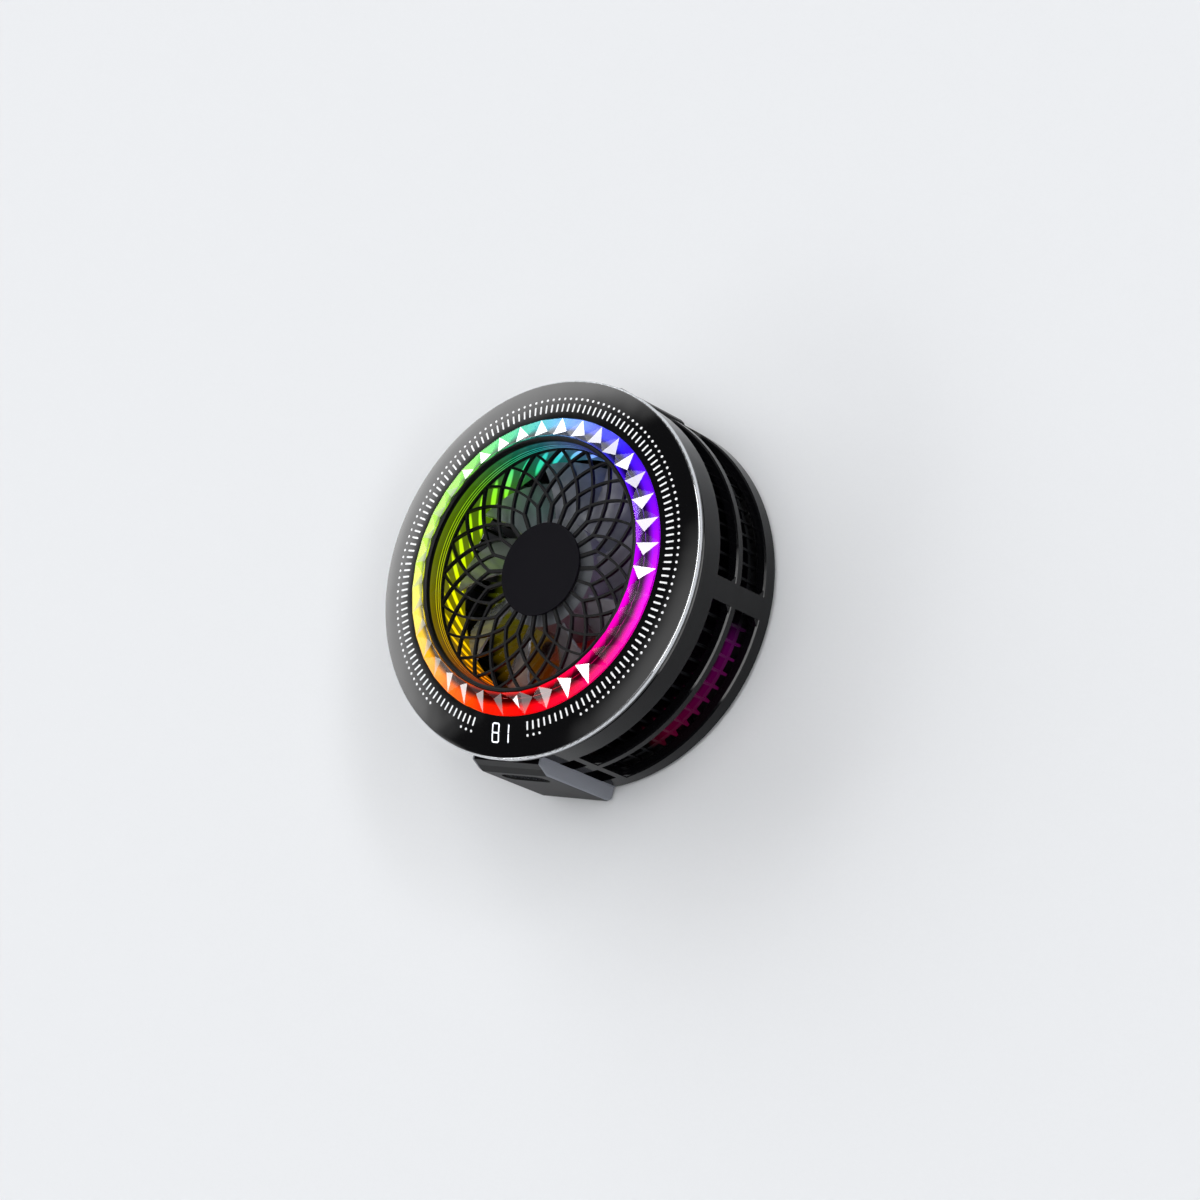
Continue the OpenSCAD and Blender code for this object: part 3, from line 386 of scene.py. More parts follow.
@dataclass(frozen=True)
class HousingBlack(PolishedBlack):
    """Polished black wall whose socket boss is textured: a matt black face, and flanks painted grey as a painted
    reflection. Sizes in millimetres.
    """

    face_mm: float = 31.2
    flank_mm: float = 6.5
    flank_from_mm: float = 29.4
    flank_reflection_colour: str = "#7d8088"
    matt: float = 0.5

    def pattern(self, tree: Tree, shader: Shader) -> None:
        """Adds the polish, then the boss's texture and the painted reflection on its flanks, a flat grey colour.

        Args:
            tree: Material's node tree.
            shader: Its shader.
        """
        super().pattern(tree, shader)
        polish = shader.inputs["Roughness"].links[0].from_socket
        axes = add_node(tree, "SeparateXYZ", {0: self.place(tree)})
        face = maths(tree, "LESS_THAN", axes.outputs[1], -self.face_mm * MM)
        aside = maths(tree, "ABSOLUTE", axes.outputs[0])
        wide = maths(tree, "GREATER_THAN", aside, self.flank_mm * MM)
        near = maths(tree, "LESS_THAN", axes.outputs[1], -self.flank_from_mm * MM)
        flank = maths(tree, "MULTIPLY", wide, near)
        either = maths(tree, "MAXIMUM", face, flank)
        rough = add_node(tree, "Mix", {0: either, 2: polish, 3: self.matt})
        # painted reflection: the flanks are painted grey to stand in for the bright reflection they show
        shade = add_node(tree, "Mix", {
            0: flank, 6: linear(self.colour), 7: linear(self.flank_reflection_colour)}, data_type="RGBA")
        feed(tree, shader, {"Roughness": rough, "Base Color": shade.outputs[2]})


RING_COLOURS: tuple[tuple[float, str], ...] = (
    (-180, "#d2ec00"), (-160, "#f4e400"), (-138, "#ffc000"), (-118, "#ff7a00"), (-100, "#ff2a08"),
    (-78, "#ff0a10"), (-58, "#ff0648"), (-38, "#ff00a0"), (-15, "#fb00e0"), (8, "#c400ff"),
    (30, "#8a10ff"), (56, "#4420ff"), (72, "#5a66ff"), (86, "#86b4ff"), (104, "#2ec8c4"),
    (120, "#2fd68a"), (138, "#86ea2a"), (158, "#b4f000"), (180, "#d2ec00"),
)


def ring_colour(tree: Tree, place: Socket) -> Socket:
    """Gives the lamps' colour at an angle round the fan axis.

    Args:
        tree: Material's node tree.
        place: Place on the solid.

    Returns:
        The colour of the light at that place.
    """
    turn = spread(tree, turn_of(tree, place), (-math.pi, math.pi))
    ramp = add_node(tree, "ValToRGB", {0: turn})
    stops = ramp.color_ramp.elements
    while len(stops) < len(RING_COLOURS):
        stops.new(0.5)
    for stop, (degrees, code) in zip(stops, RING_COLOURS):
        stop.position = (degrees + 180) / 360
        stop.color = linear(code)
    return ramp.outputs[0]


@dataclass(frozen=True)
class CutPolycarbonate(Finish):
    """Clear polycarbonate in facets, every other one silvered: white triangles between clear ones.

    The silver is on the clockwise side of each ridge, but on the other side in one stretch, and another
    stretch beside it is left clear. Stretches are a middle and a half length in degrees.
    """

    film: float = 0.5
    other_side: tuple[float, float] = (-62.5, 18.5)
    clear: tuple[float, float] = (-24.5, 19.5)
    lean_mm: float = 2.2
    # shares of the lamps' colour painted into the base colour: painted coloured light on clear and silvered facets
    clear_painted_light: float = 0.55
    silver_painted_light: float = 0.1
    mirror: float = 0.35

    def pattern(self, tree: Tree, shader: Shader) -> None:
        """Makes the solid clear, silvers its facets, paints the lamps' coloured light into its colour and varies the
        polish.

        Args:
            tree: Material's node tree.
            shader: Its shader.
        """
        shader.inputs["Transmission Weight"].default_value = 1.0
        shader.inputs["Specular Tint"].default_value = (self.mirror, self.mirror, self.mirror, 1.0)
        place = self.place(tree)
        angle = turn_of(tree, place)
        inside = [maths(tree, "COMPARE", angle, math.radians(middle), math.radians(half))
                  for middle, half in (self.other_side, self.clear)]
        normal = add_node(tree, "NewGeometry").outputs["True Normal"]
        cross = add_node(tree, "VectorMath", {0: place, 1: normal}, operation="CROSS_PRODUCT")
        lean = add_node(tree, "SeparateXYZ", {0: cross}).outputs[2]
        side = maths(tree, "MULTIPLY_ADD", inside[0], 2.0, -1.0)
        toward = maths(tree, "MULTIPLY", lean, side)
        facet = maths(tree, "GREATER_THAN", toward, self.lean_mm * MM)
        kept = maths(tree, "SUBTRACT", 1.0, inside[1])
        silver = maths(tree, "MULTIPLY", facet, kept)
        film = maths(tree, "MULTIPLY", silver, self.film)
        # painted light: the lamps' colour is painted into the base colour, most on the clear facets
        painted_light_share = spread(tree, silver, (0.0, 1.0), (self.clear_painted_light, self.silver_painted_light))
        shade = add_node(tree, "Mix", {
            0: painted_light_share, 6: linear(self.colour), 7: ring_colour(tree, place)}, data_type="RGBA")
        feed(tree, shader, {"Base Color": shade.outputs[2]})
        polish = spread(
            tree, self.grain(tree, place, self.grain_mm), (NOISE_LOW, NOISE_HIGH),
            (self.roughness * 0.4, self.roughness * 1.6))
        feed(tree, shader, {"Metallic": film, "Roughness": polish})


@dataclass(frozen=True)
class LitSleeve(Finish):
    """Clear polycarbonate wall lit from its foot: fine turned lines shine in the lower half."""

    glow: float = 0.8
    line_mm: float = 0.46
    foot_mm: float = 21.0
    lines_to_mm: float = 22.5
    top_mm: float = 23.55

    def pattern(self, tree: Tree, shader: Shader) -> None:
        """Adds the lamps' colour, strongest on thin lines round the wall.

        Args:
            tree: Material's node tree.
            shader: Its shader.
        """
        place = self.place(tree)
        height = add_node(tree, "SeparateXYZ", {0: place}).outputs[2]
        turns = maths(tree, "MULTIPLY", height, 2 * math.pi / (self.line_mm * MM))
        wave = maths(tree, "SINE", turns)
        line = spread(tree, wave, (0.35, 0.95))
        low = spread(tree, height, ((self.lines_to_mm - 0.3) * MM, self.lines_to_mm * MM), (1.0, 0.0))
        lines = maths(tree, "MULTIPLY", line, low)
        body = spread(tree, height, (self.foot_mm * MM, self.top_mm * MM), (0.06, 0.24))
        total = maths(tree, "ADD", lines, body)
        strength = maths(tree, "MULTIPLY", total, self.glow)
        feed(tree, shader, {"Emission Strength": strength, "Emission Color": ring_colour(tree, place)})


@dataclass(frozen=True)
class LitDuct(Finish):
    """Clear polycarbonate duct moulded in leaf-shaped lenses: each leaf is bright along one side."""

    glow: float = 1.2
    leaves: int = 36
    lean: float = 60.0
    foot_mm: float = 14.8
    top_mm: float = 20.4

    def pattern(self, tree: Tree, shader: Shader) -> None:
        """Adds the lamps' colour in leaning leaf shapes.

        Args:
            tree: Material's node tree.
            shader: Its shader.
        """
        place = self.place(tree)
        height = add_node(tree, "SeparateXYZ", {0: place}).outputs[2]
        slope = maths(tree, "MULTIPLY_ADD", height, self.lean, turn_of(tree, place))
        turns = maths(tree, "MULTIPLY", slope, float(self.leaves))
        wave = maths(tree, "SINE", turns)
        level = spread(tree, height, (self.foot_mm * MM, self.top_mm * MM), (-1.0, 1.0))
        ends = maths(tree, "MULTIPLY", level, level)
        shape = maths(tree, "SUBTRACT", wave, ends)
        leaf = spread(tree, shape, (-0.1, 0.6), (0.15 * self.glow, self.glow), smooth=True)
        feed(tree, shader, {"Emission Strength": leaf, "Emission Color": ring_colour(tree, place)})


@dataclass(frozen=True)
class MilkyDiffuser(Finish):
    """Milky polycarbonate over the lamps: a glow in their colours, strongest over the lamps themselves."""

    glow: float = 1.2
    dark_mm: float = 21.3
    bright_mm: float = 22.9

    def pattern(self, tree: Tree, shader: Shader) -> None:
        """Lights the surface in the lamps' colours, fading to its inner edge.

        Args:
            tree: Material's node tree.
            shader: Its shader.
        """
        place = self.place(tree)
        fade = spread(
            tree, reach_of(tree, place), (self.dark_mm * MM, self.bright_mm * MM),
            (0.03 * self.glow, self.glow), smooth=True)
        feed(tree, shader, {"Emission Strength": fade, "Emission Color": ring_colour(tree, place)})


@dataclass(frozen=True)
class AnodisedFins(Finish):
    """Black anodised aluminium fins: dark satin, with stray lamp light between the rear ones on one side."""

    glow: float = 0.055
    from_deg: float = -56.0
    to_deg: float = -6.0
    fade_deg: float = 8.0
    top_mm: float = 9.3
    tip_mm: float = 27.6
    bare_mm: float = 20.0
    bare_colour: str = "#8f9296"
    spill: float = 0.05
    spill_to_mm: float = 22.0

    def pattern(self, tree: Tree, shader: Shader) -> None:
        """Adds the anodised grain, the bare face under the fan and the stray light on both.

        Args:
            tree: Material's node tree.
            shader: Its shader.
        """
        super().pattern(tree, shader)
        place = self.place(tree)
        height = add_node(tree, "SeparateXYZ", {0: place}).outputs[2]
        angle, reach = turn_of(tree, place), reach_of(tree, place)
        strength = spread(tree, height, ((self.top_mm - 0.3) * MM, self.top_mm * MM), (self.glow, 0.0))
        black = shader.inputs["Base Color"].links[0].from_socket
        inside = maths(tree, "LESS_THAN", reach, self.bare_mm * MM)
        shade = add_node(tree, "Mix", {
            0: inside, 6: black, 7: linear(self.bare_colour)}, data_type="RGBA")
        feed(tree, shader, {"Base Color": shade.outputs[2]})
        tip = spread(tree, reach, ((self.tip_mm - 1.0) * MM, self.tip_mm * MM))
        strength = maths(tree, "MULTIPLY", strength, tip)
        for edge, inward in ((self.from_deg, 1), (self.to_deg, -1)):
            side = spread(tree, angle, (math.radians(edge), math.radians(edge + inward * self.fade_deg)))
            strength = maths(tree, "MULTIPLY", strength, side)
        spill = spread(tree, reach, (self.bare_mm * MM, self.spill_to_mm * MM), (self.spill, 0.0))
        strength = maths(tree, "ADD", strength, spill)
        feed(tree, shader, {"Emission Strength": strength, "Emission Color": ring_colour(tree, place)})


@dataclass(frozen=True)
class SpillGlowSeat(Finish):
    """Matt grey ABS under the blades, with the lamps' spilt light painted on it as an even glow in their colours."""

    spill: float = 0.05

    def pattern(self, tree: Tree, shader: Shader) -> None:
        """Adds the grain and the spilt light, painted on as a glow.

        Args:
            tree: Material's node tree.
            shader: Its shader.
        """
        super().pattern(tree, shader)
        # painted light: the lamps' spilt light is painted on as an even glow in the ring colours
        shader.inputs["Emission Strength"].default_value = self.spill
        feed(tree, shader, {"Emission Color": ring_colour(tree, self.place(tree))})


@dataclass(frozen=True)
class Lit(Finish):
    """Surface that shines evenly by itself, with a faint grain in its cover."""

    glow: float = 1.0

    def pattern(self, tree: Tree, shader: Shader) -> None:
        """Adds the light and a faint grain.

        Args:
            tree: Material's node tree.
            shader: Its shader.
        """
        super().pattern(tree, shader)
        shader.inputs["Emission Color"].default_value = linear(self.colour)
        shader.inputs["Emission Strength"].default_value = self.glow


@dataclass(frozen=True)
class SmokedPlastic(Finish):
    """Smoke grey SAN, half clear: light from the ring soaks into the blades."""

    clear: float = 0.35

    def pattern(self, tree: Tree, shader: Shader) -> None:
        """Adds a flow-marked gloss and lets some light through.

        Args:
            tree: Material's node tree.
            shader: Its shader.
        """
        super().pattern(tree, shader)
        shader.inputs["Transmission Weight"].default_value = self.clear


@dataclass(frozen=True)
class TurnedMetal(Finish):
    """Metal faced on a lathe: fine rings round the axis that stretch each glint."""

    ring_mm: float = 0.22

    def pattern(self, tree: Tree, shader: Shader) -> None:
        """Adds the turned rings; a real feed of 0.05 mm is drawn coarser so that it shows.

        Args:
            tree: Material's node tree.
            shader: Its shader.
        """
        place = self.place(tree)
        turn = maths(tree, "MULTIPLY", reach_of(tree, place), 2 * math.pi / (self.ring_mm * MM))
        wave = maths(tree, "SINE", turn)
        relief = add_node(tree, "Bump", {
            "Height": wave, "Strength": self.grain_depth, "Distance": self.ring_mm * MM})
        grey = self.grain(tree, place, self.grain_mm)
        rough = spread(tree, grey, (NOISE_LOW, NOISE_HIGH), (self.roughness * 0.8, self.roughness * 1.2))
        feed(tree, shader, {"Roughness": rough, "Normal": relief})


@dataclass(frozen=True)
class WoundWire(Finish):
    """Enamelled copper wire laid turn by turn: a row of round glints."""

    wire_mm: float = 0.18

    def pattern(self, tree: Tree, shader: Shader) -> None:
        """Adds the turns of wire as relief along the fan axis.

        Args:
            tree: Material's node tree.
            shader: Its shader.
        """
        bands = add_node(tree, "TexWave", {
            "Vector": self.place(tree), "Scale": 1 / (self.wire_mm * MM) / 6.28, "Distortion": 0.4},
            wave_type="BANDS", bands_direction="Z")
        relief = add_node(tree, "Bump", {
            "Height": bands.outputs["Fac"], "Strength": 0.6, "Distance": self.wire_mm * MM})
        feed(tree, shader, {"Normal": relief})


@dataclass(frozen=True)
class CircuitBoard(Finish):
    """Green solder mask over copper tracks: paler lines under a thin gloss."""

    track_mm: float = 1.1

    def pattern(self, tree: Tree, shader: Shader) -> None:
        """Adds the tracks as paler cell edges.

        Args:
            tree: Material's node tree.
            shader: Its shader.
        """
        cells = add_node(tree, "TexVoronoi", {
            "Vector": self.place(tree), "Scale": 1 / (self.track_mm * MM)},
            feature="DISTANCE_TO_EDGE", distance="MANHATTAN")
        track = spread(tree, cells.outputs["Distance"], (0.06, 0.1), (1.0, 0.0))
        base = linear(self.colour)
        shade = add_node(tree, "Mix", {
            0: track, 6: base, 7: tuple(min(1.0, 1.7 * c) for c in base[:3]) + (1.0,)}, data_type="RGBA")
        feed(tree, shader, {"Base Color": shade.outputs[2]})


# ABS from a polished mould: black with a deep, clear mirror.
PIANO_BLACK = PolishedBlack("piano_black_abs", "#08080a", 0.07, ior=1.6)
# The same ABS on the face, with a painted highlight on its rounded rim: a silver metallic band, a silver line round a
# black dome.
RIM_HIGHLIGHT_BLACK = RimHighlightBlack("piano_black_abs_painted_rim_highlight", "#08080a", 0.07, ior=1.6)
# The same ABS on the slotted wall, handled more: the mirror is a little softer; the socket boss's flanks carry a
# painted reflection in grey.
SIDE_BLACK = HousingBlack("polished_black_housing", "#08080a", 0.1, ior=1.5, specular=0.22)
# PC-ABS from a fine-textured mould: black, with soft thin lights along its edges only.
SATIN_BLACK = Finish("satin_black_pc_abs", "#0b0b0d", 0.32, specular=0.2, grain_mm=0.12, grain_depth=0.08)
# Rubbery paint over the cap: the deepest black on the face, with no clear reflection.
HUB_BLACK = Finish("soft_touch_black", "#0c0b11", 0.5, ior=1.45, specular=0.05, grain_mm=0.1, grain_depth=0.12)
# Polycarbonate moulded in facets, every other one half silvered: white triangles over the coloured light, which is also
# painted into its colour.
CRYSTAL = CutPolycarbonate("cut_clear_polycarbonate", "#ffffff", 0.03, ior=1.58, specular=0.2, grain_mm=2.0)
# Polycarbonate with turned lines, lit from its foot: olive to teal, with a few bright lines.
SLEEVE = LitSleeve("lit_clear_sleeve", "#16180f", 0.15, ior=1.58)
# Polycarbonate moulded in small lenses: bright leaning leaves in the lamps' colours.
DUCT = LitDuct("lit_clear_duct", "#1a1c14", 0.12, ior=1.58)
# Polycarbonate filled with white: an even glow with no lamp to be told apart.
DIFFUSER = MilkyDiffuser("milky_polycarbonate", "#3a3a3a", 0.5, ior=1.58)
# Cast epoxy over each lamp: a small warm white block.
LAMP_EPOXY = Lit("lamp_epoxy", "#f4f0dc", 0.3, ior=1.53, glow=0.6)
# Pad-printed ink, a hundredth of a millimetre thick: flat, even white.
WHITE_INK = Finish("white_pad_print", "#f4f5f7", 0.45, grain_mm=0.06, grain_depth=0.1, mottle=0.04)
# Cast resin over the lit segments: clean white that shines a little.
LIT_SEGMENT = Lit("lit_segment_resin", "#f2f5ff", 0.3, glow=0.9, mottle=0.03)
# SAN moulded half clear in smoke grey: takes up the colour of the light round it, with faint flow marks.
BLADES = SmokedPlastic("smoke_grey_san", "#8d9197", 0.24, ior=1.56, grain_mm=2.5, grain_depth=0.05)
# Extruded aluminium, bead-blasted and anodised black: dark fins with a soft metallic edge.
FINS = AnodisedFins("black_anodised_aluminium", "#1b1c1e", 0.45, metallic=1.0, grain_mm=0.2, grain_depth=0.1)
# Aluminium faced on a lathe: fine rings that fan the light out.
COLD_FACE = TurnedMetal("turned_aluminium", "#c9ccd1", 0.28, metallic=1.0, grain_depth=0.12, ring_mm=0.5)
# Moulded silicone rubber: matt dark grey that hardly shines.
SILICONE = Finish("matt_silicone", "#1c1d20", 0.72, ior=1.41, grain_mm=0.3, grain_depth=0.2)
# ABS moulded in mid grey for the fan's seat: matt, with the lamps' coloured light painted on it as a glow.
SEAT_GREY = SpillGlowSeat("moulded_grey_abs", "#6a6c6e", 0.5, grain_mm=0.2, grain_depth=0.1)
# ABS from a spark-eroded mould: an even fine roughness.
COVER_BLACK = Finish("spark_textured_abs", "#101012", 0.5, grain_mm=0.25, grain_depth=0.25)
# Steel with a bright zinc plating: a cool grey shine.
ZINC = Finish("zinc_plated_steel", "#8f9296", 0.32, metallic=1.0)
# Drawn steel shell with a nickel plating: a smooth warm mirror.
NICKEL = Finish("nickel_plated_steel", "#b9bcc0", 0.2, metallic=1.0, grain_mm=0.5)
# Stamped cold-rolled steel: dull grey.
PLAIN_STEEL = Finish("rolled_steel", "#8a8d91", 0.38, metallic=1.0)
# Steel rod ground round: a bright mirror with fine rings.
GROUND_STEEL = TurnedMetal("ground_steel", "#c6c9ce", 0.14, metallic=1.0, grain_depth=0.05)
# Pressed magnet with a nickel plating: bright, slightly orange-peeled.
MAGNET = Finish("nickel_plated_magnet", "#a4a7ac", 0.25, metallic=1.0)
# Ferrite powder bound in plastic: matt black-grey.
FERRITE = Finish("bonded_ferrite", "#2a2a2d", 0.6, grain_mm=0.1, grain_depth=0.3)
# Fired alumina plate: chalk white with a faint gloss.
ALUMINA = Finish("white_alumina", "#eeebe4", 0.45, ior=1.76)
# Sintered bismuth telluride legs: dull dark silver.
SINTERED = Finish("sintered_legs", "#55585f", 0.5, metallic=1.0)
# Copper wire under clear enamel, laid in turns: rows of reddish glints.
COPPER = WoundWire("enamelled_copper", "#b4642c", 0.3, metallic=1.0)
# Bronze powder pressed and sintered: a grainy gold-brown.
BRONZE = Finish("sintered_bronze", "#a98750", 0.45, metallic=1.0, grain_mm=0.08, grain_depth=0.3)
# Moulded nylon without dye: waxy off-white.
NYLON = Finish("natural_nylon", "#e2ddcf", 0.45, ior=1.53)
# Glass-epoxy board under green mask: paler tracks under a thin gloss.
BOARD = CircuitBoard("solder_mask", "#14502f", 0.3)
# Closed-cell foam cut from a sheet: matt and pitted.
FOAM = Finish("closed_cell_foam", "#2c2d31", 0.9, grain_mm=0.4, grain_depth=0.6)
# Soft filled silicone sheet: a flat grey-blue.
THERMAL = Finish("thermal_gap_sheet", "#9db2c6", 0.7, grain_mm=0.3, grain_depth=0.2)
# Dipped epoxy bead: a small glossy amber drop.
RESIN = Finish("epoxy_bead", "#caa646", 0.2, ior=1.55)
# Stamped contacts with a gold flash: thin yellow lines.
GOLD = Finish("gold_plated_contact", "#d9b25a", 0.2, metallic=1.0, grain_mm=0.1)
# Uncoated paper: pale and matt, with a hardly visible tooth.
PAPER = Finish("pale_paper_sweep", "#e2e4e7", 0.9, grain_mm=0.6, grain_depth=0.02, mottle=0.01)


class Wardrobe:
    """Makes each finish once and puts it on solids and pieces."""

    made: dict[str, bpy.types.Material] = {}

    @classmethod
    def dress(cls, finishes: dict[str, Finish]) -> None:
        """Puts finishes on solids and pieces by name and reports each.

        Args:
            finishes: Finish of each solid or piece, by its name.
        """
        for name, finish in finishes.items():
            if finish.name not in cls.made:
                cls.made[finish.name] = finish.make()
            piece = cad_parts.get(name) or bpy.data.objects[name]
            piece.data.materials.clear()
            piece.data.materials.append(cls.made[finish.name])
            LOG.info("%s: %s", name, finish.name)


@dataclass
class Assembly:
    """Sub-assembly whose solids are smoothed or rounded and dressed by name. Angle in degrees, width in millimetres."""

    smooth: ClassVar[tuple[str, ...]] = ()
    rounded: ClassVar[tuple[str, ...]] = ()
    finishes: ClassVar[dict[str, Finish]] = {}
    crease: float = 30.0
    edge: float = 0.09

    def build(self) -> None:
        """Smooths the round walls and rounds the sharp edges."""
        smooth_faces(self.smooth, self.crease)
        for name in self.rounded:
            soften_edges(name, self.edge)

    def dress(self) -> None:
        """Dresses the solids and the added pieces."""
        Wardrobe.dress(self.finishes)


@dataclass
class Face(Assembly):
    """Domed bezel with its printed scale and the lit digits. Sizes in millimetres and degrees."""

    finishes = {"front_bezel": RIM_HIGHLIGHT_BLACK, "display_module": SATIN_BLACK, "scale_print": WHITE_INK,
                "display_digits": LIT_SEGMENT}
    inner_r: float = 24.15
    crown_z: float = 22.8
    dome_r: float = 19.95
    rim_mid_r: float = 30.2
    rim_mid_z: float = 21.23
    rim_r: float = 0.6
    on_profile: float = 0.03
    along: float = 0.8
    mark_pitch: float = 2.4
    marks: int = 75
    first_mark: int = 5
    pair_marks: int = 3
    dots_again: int = 14
    dot_r: float = 27.43
    dot_d: float = 0.43
    dash_in: float = 25.2
    dash_out: float = 26.6
    dash_w: float = 0.3
    ink_t: float = 0.012
    digit_x: float = 0.3
    digit_y: float = -26.8
    digit_h: float = 3.1
    digit_w: float = 1.45
    digit_gap: float = 0.5
    stroke: float = 0.21
    slant: float = -0.1

    def true_normal(self, point: Vector, flat: Vector) -> Vector:
        """Gives the normal of the bezel's round profile at a corner of one of its faces.

        Args:
            point: Corner of the face, in millimetres.
            flat: Normal of the face itself.

        Returns:
            The profile's normal, or the face's own where the face is flat.
        """
        out = math.hypot(point.x, point.y)
        ahead = Vector((point.x / out, point.y / out, 0.0))
        choices = [ahead, -ahead]
        for mid_r, mid_z, radius in (
                (self.rim_mid_r, self.rim_mid_z, self.rim_r),
                (self.inner_r, self.crown_z - self.dome_r, self.dome_r)):
            lean = ahead * (out - mid_r) + Vector((0.0, 0.0, point.z - mid_z))
            if abs(lean.length - radius) < self.on_profile:
                choices.append(lean.normalized())
        best = max(choices, key=flat.dot)
        return best if best.dot(flat) > self.along else flat

    def round_bezel(self) -> None:
        """Shades the bezel by its round profile, so that thin reflections run true along the rim."""
        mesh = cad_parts["front_bezel"].data
        mesh.polygons.foreach_set("use_smooth", [True] * len(mesh.polygons))
        mesh.normals_split_custom_set([
            self.true_normal(mesh.vertices[corner].co / MM, polygon.normal)
            for polygon in mesh.polygons for corner in polygon.vertices])

    def height(self, x: float, y: float) -> float:
        """Gives the height of the dome over a place on the face."""
        out = max(0.0, math.hypot(x, y) - self.inner_r)
        return self.crown_z - self.dome_r + math.sqrt(self.dome_r ** 2 - out ** 2)

    def slab(self, outline: list[Corner], points: list[Point], faces: list[Quad]) -> None:
        """Adds a thin slab of ink that lies on the dome.

        Args:
            outline: Corners of the mark, anticlockwise.
            points: Points of the piece so far.
            faces: Faces of the piece so far.
        """
        n, start = len(outline), len(points)
        for lift in (-self.ink_t, self.ink_t):
            points.extend((x, y, self.height(x, y) + lift) for x, y in outline)
        faces.append(tuple(start + n - 1 - i for i in range(n)))
        faces.append(tuple(start + n + i for i in range(n)))
        for i in range(n):
            j = (i + 1) % n
            faces.append((start + i, start + j, start + n + j, start + n + i))

    def dot(self, angle: float) -> list[Corner]:
        """Gives the outline of a dot.

        Args:
            angle: Its angle in radians.

        Returns:
            Its corners, anticlockwise.
        """
        x, y = self.dot_r * math.cos(angle), self.dot_r * math.sin(angle)
        r = self.dot_d / 2
        return [(x + r * math.cos(a), y + r * math.sin(a)) for a in (math.tau * i / 12 for i in range(12))]

    def dash(self, angle: float) -> list[Corner]:
        """Gives the outline of a round-ended dash.

        Args:
            angle: Its angle in radians.

        Returns:
            Its corners, anticlockwise.
        """
        half = self.dash_w / 2
        c, s = math.cos(angle), math.sin(angle)
        ends = [(self.dash_out - half, -90), (self.dash_in + half, 90)]
        flat = [(r + half * math.cos(math.radians(a + 30 * i)), half * math.sin(math.radians(a + 30 * i)))
                for r, a in ends for i in range(7)]
        return [(r * c - w * s, r * s + w * c) for r, w in flat]

    def build_scale(self) -> bpy.types.Object:
        """Makes the ring of dots and dashes, open at the display.

        Returns:
            The printed scale.
        """
        points: list[Point] = []
        faces: list[Quad] = []
        for side in (-1, 1):
            last = self.marks if side > 0 else self.marks - 1
            for step in range(self.first_mark, last + 1):
                angle = math.radians(270 + side * step * self.mark_pitch)
                self.slab(self.dash(angle), points, faces)
                if step < self.first_mark + self.pair_marks or step >= self.dots_again:
                    self.slab(self.dot(angle), points, faces)
        return make_piece("scale_print", points, faces, Body.COOLER)

    def segment(self, x: float, y: float, dx: float, dy: float) -> list[Corner]:
        """Gives the outline of one pointed display segment.

        Args:
            x: Middle of the segment, from the middle of the display.
            y: Middle of the segment, upwards.
            dx: Half length if the segment lies, otherwise 0.
            dy: Half length if the segment stands, otherwise 0.

        Returns:
            Its corners on the face, anticlockwise.
        """
        t, reach = self.stroke / 2, max(dx, dy)
        lie = [(-reach, 0.0), (t - reach, -t), (reach - t, -t), (reach, 0.0), (reach - t, t), (t - reach, t)]
        turned = lie if dx else [(-b, a) for a, b in lie]
        return [(self.digit_x + x + a + self.slant * (y + b), self.digit_y + y + b) for a, b in turned]

    def build_digits(self) -> bpy.types.Object:
        """Makes the two lit digits, eight and one.

        Returns:
            The digits' segments as one piece.
        """
        w, h = self.digit_w / 2 - self.stroke / 2, self.digit_h / 2 - self.stroke / 2
        gap = self.stroke * 0.12
        left = -(self.digit_w + self.digit_gap) / 2
        lying = [(left, -h), (left, 0.0), (left, h)]
        standing = [(left - w, -h / 2), (left - w, h / 2), (left + w, -h / 2), (left + w, h / 2),
                    (w - left, -h / 2), (w - left, h / 2)]
        points: list[Point] = []
        faces: list[Quad] = []
        for x, y in lying:
            self.slab(self.segment(x, y, w - gap, 0.0), points, faces)
        for x, y in standing:
            self.slab(self.segment(x, y, 0.0, h / 2 - gap), points, faces)
        return make_piece("display_digits", points, faces, Body.COOLER)

    def build(self) -> None:
        """Builds the printed scale and the digits and smooths the dome under them."""
        self.round_bezel()
        for piece in (self.build_scale(), self.build_digits()):
            LOG.info("%s: %d faces", piece.name, len(piece.data.polygons))


@dataclass
class LightRing(Assembly):
    """Crystal ring, which keeps its flat facets, with the lamps, the diffuser and the clear walls under it."""

    smooth = ("trim_ring", "light_sleeve", "duct_ring", "diffuser_ring")
    finishes = {"crystal_ring": CRYSTAL, "trim_ring": SATIN_BLACK, "light_sleeve": SLEEVE, "duct_ring": DUCT,
                "diffuser_ring": DIFFUSER, "lamp_board": BOARD, "ring_lamps": LAMP_EPOXY}


@dataclass
class Grille(Assembly):
    """Woven grille with its plain cap."""

    rounded = ("front_grille", "hub_cap")
    finishes = {"front_grille": SATIN_BLACK, "hub_cap": HUB_BLACK}


@dataclass
class Housing(Assembly):
    """Slotted wall with crisp bevels, frame, rear cover, grip ring and screws. Angle in degrees."""

    smooth = ("main_housing", "front_frame", "rear_cover", "grip_ring", "housing_screws")
    finishes = {"main_housing": SIDE_BLACK, "front_frame": SATIN_BLACK, "rear_cover": COVER_BLACK,
                "grip_ring": SILICONE, "housing_screws": ZINC}
    crease: float = 25.0


@dataclass
class CoolingStack(Assembly):
    """Everything from the cold plate to the fins."""

    smooth = ("cold_plate", "magnet_yoke", "insulation_ring")
    finishes = {"magnet_ring": MAGNET, "magnet_yoke": PLAIN_STEEL, "cold_plate": COLD_FACE,
                "temperature_probe": RESIN, "insulation_ring": FOAM, "thermal_pads": THERMAL,
                "cold_ceramic": ALUMINA, "hot_ceramic": ALUMINA, "thermoelectric_legs": SINTERED,
                "heat_sink": FINS}


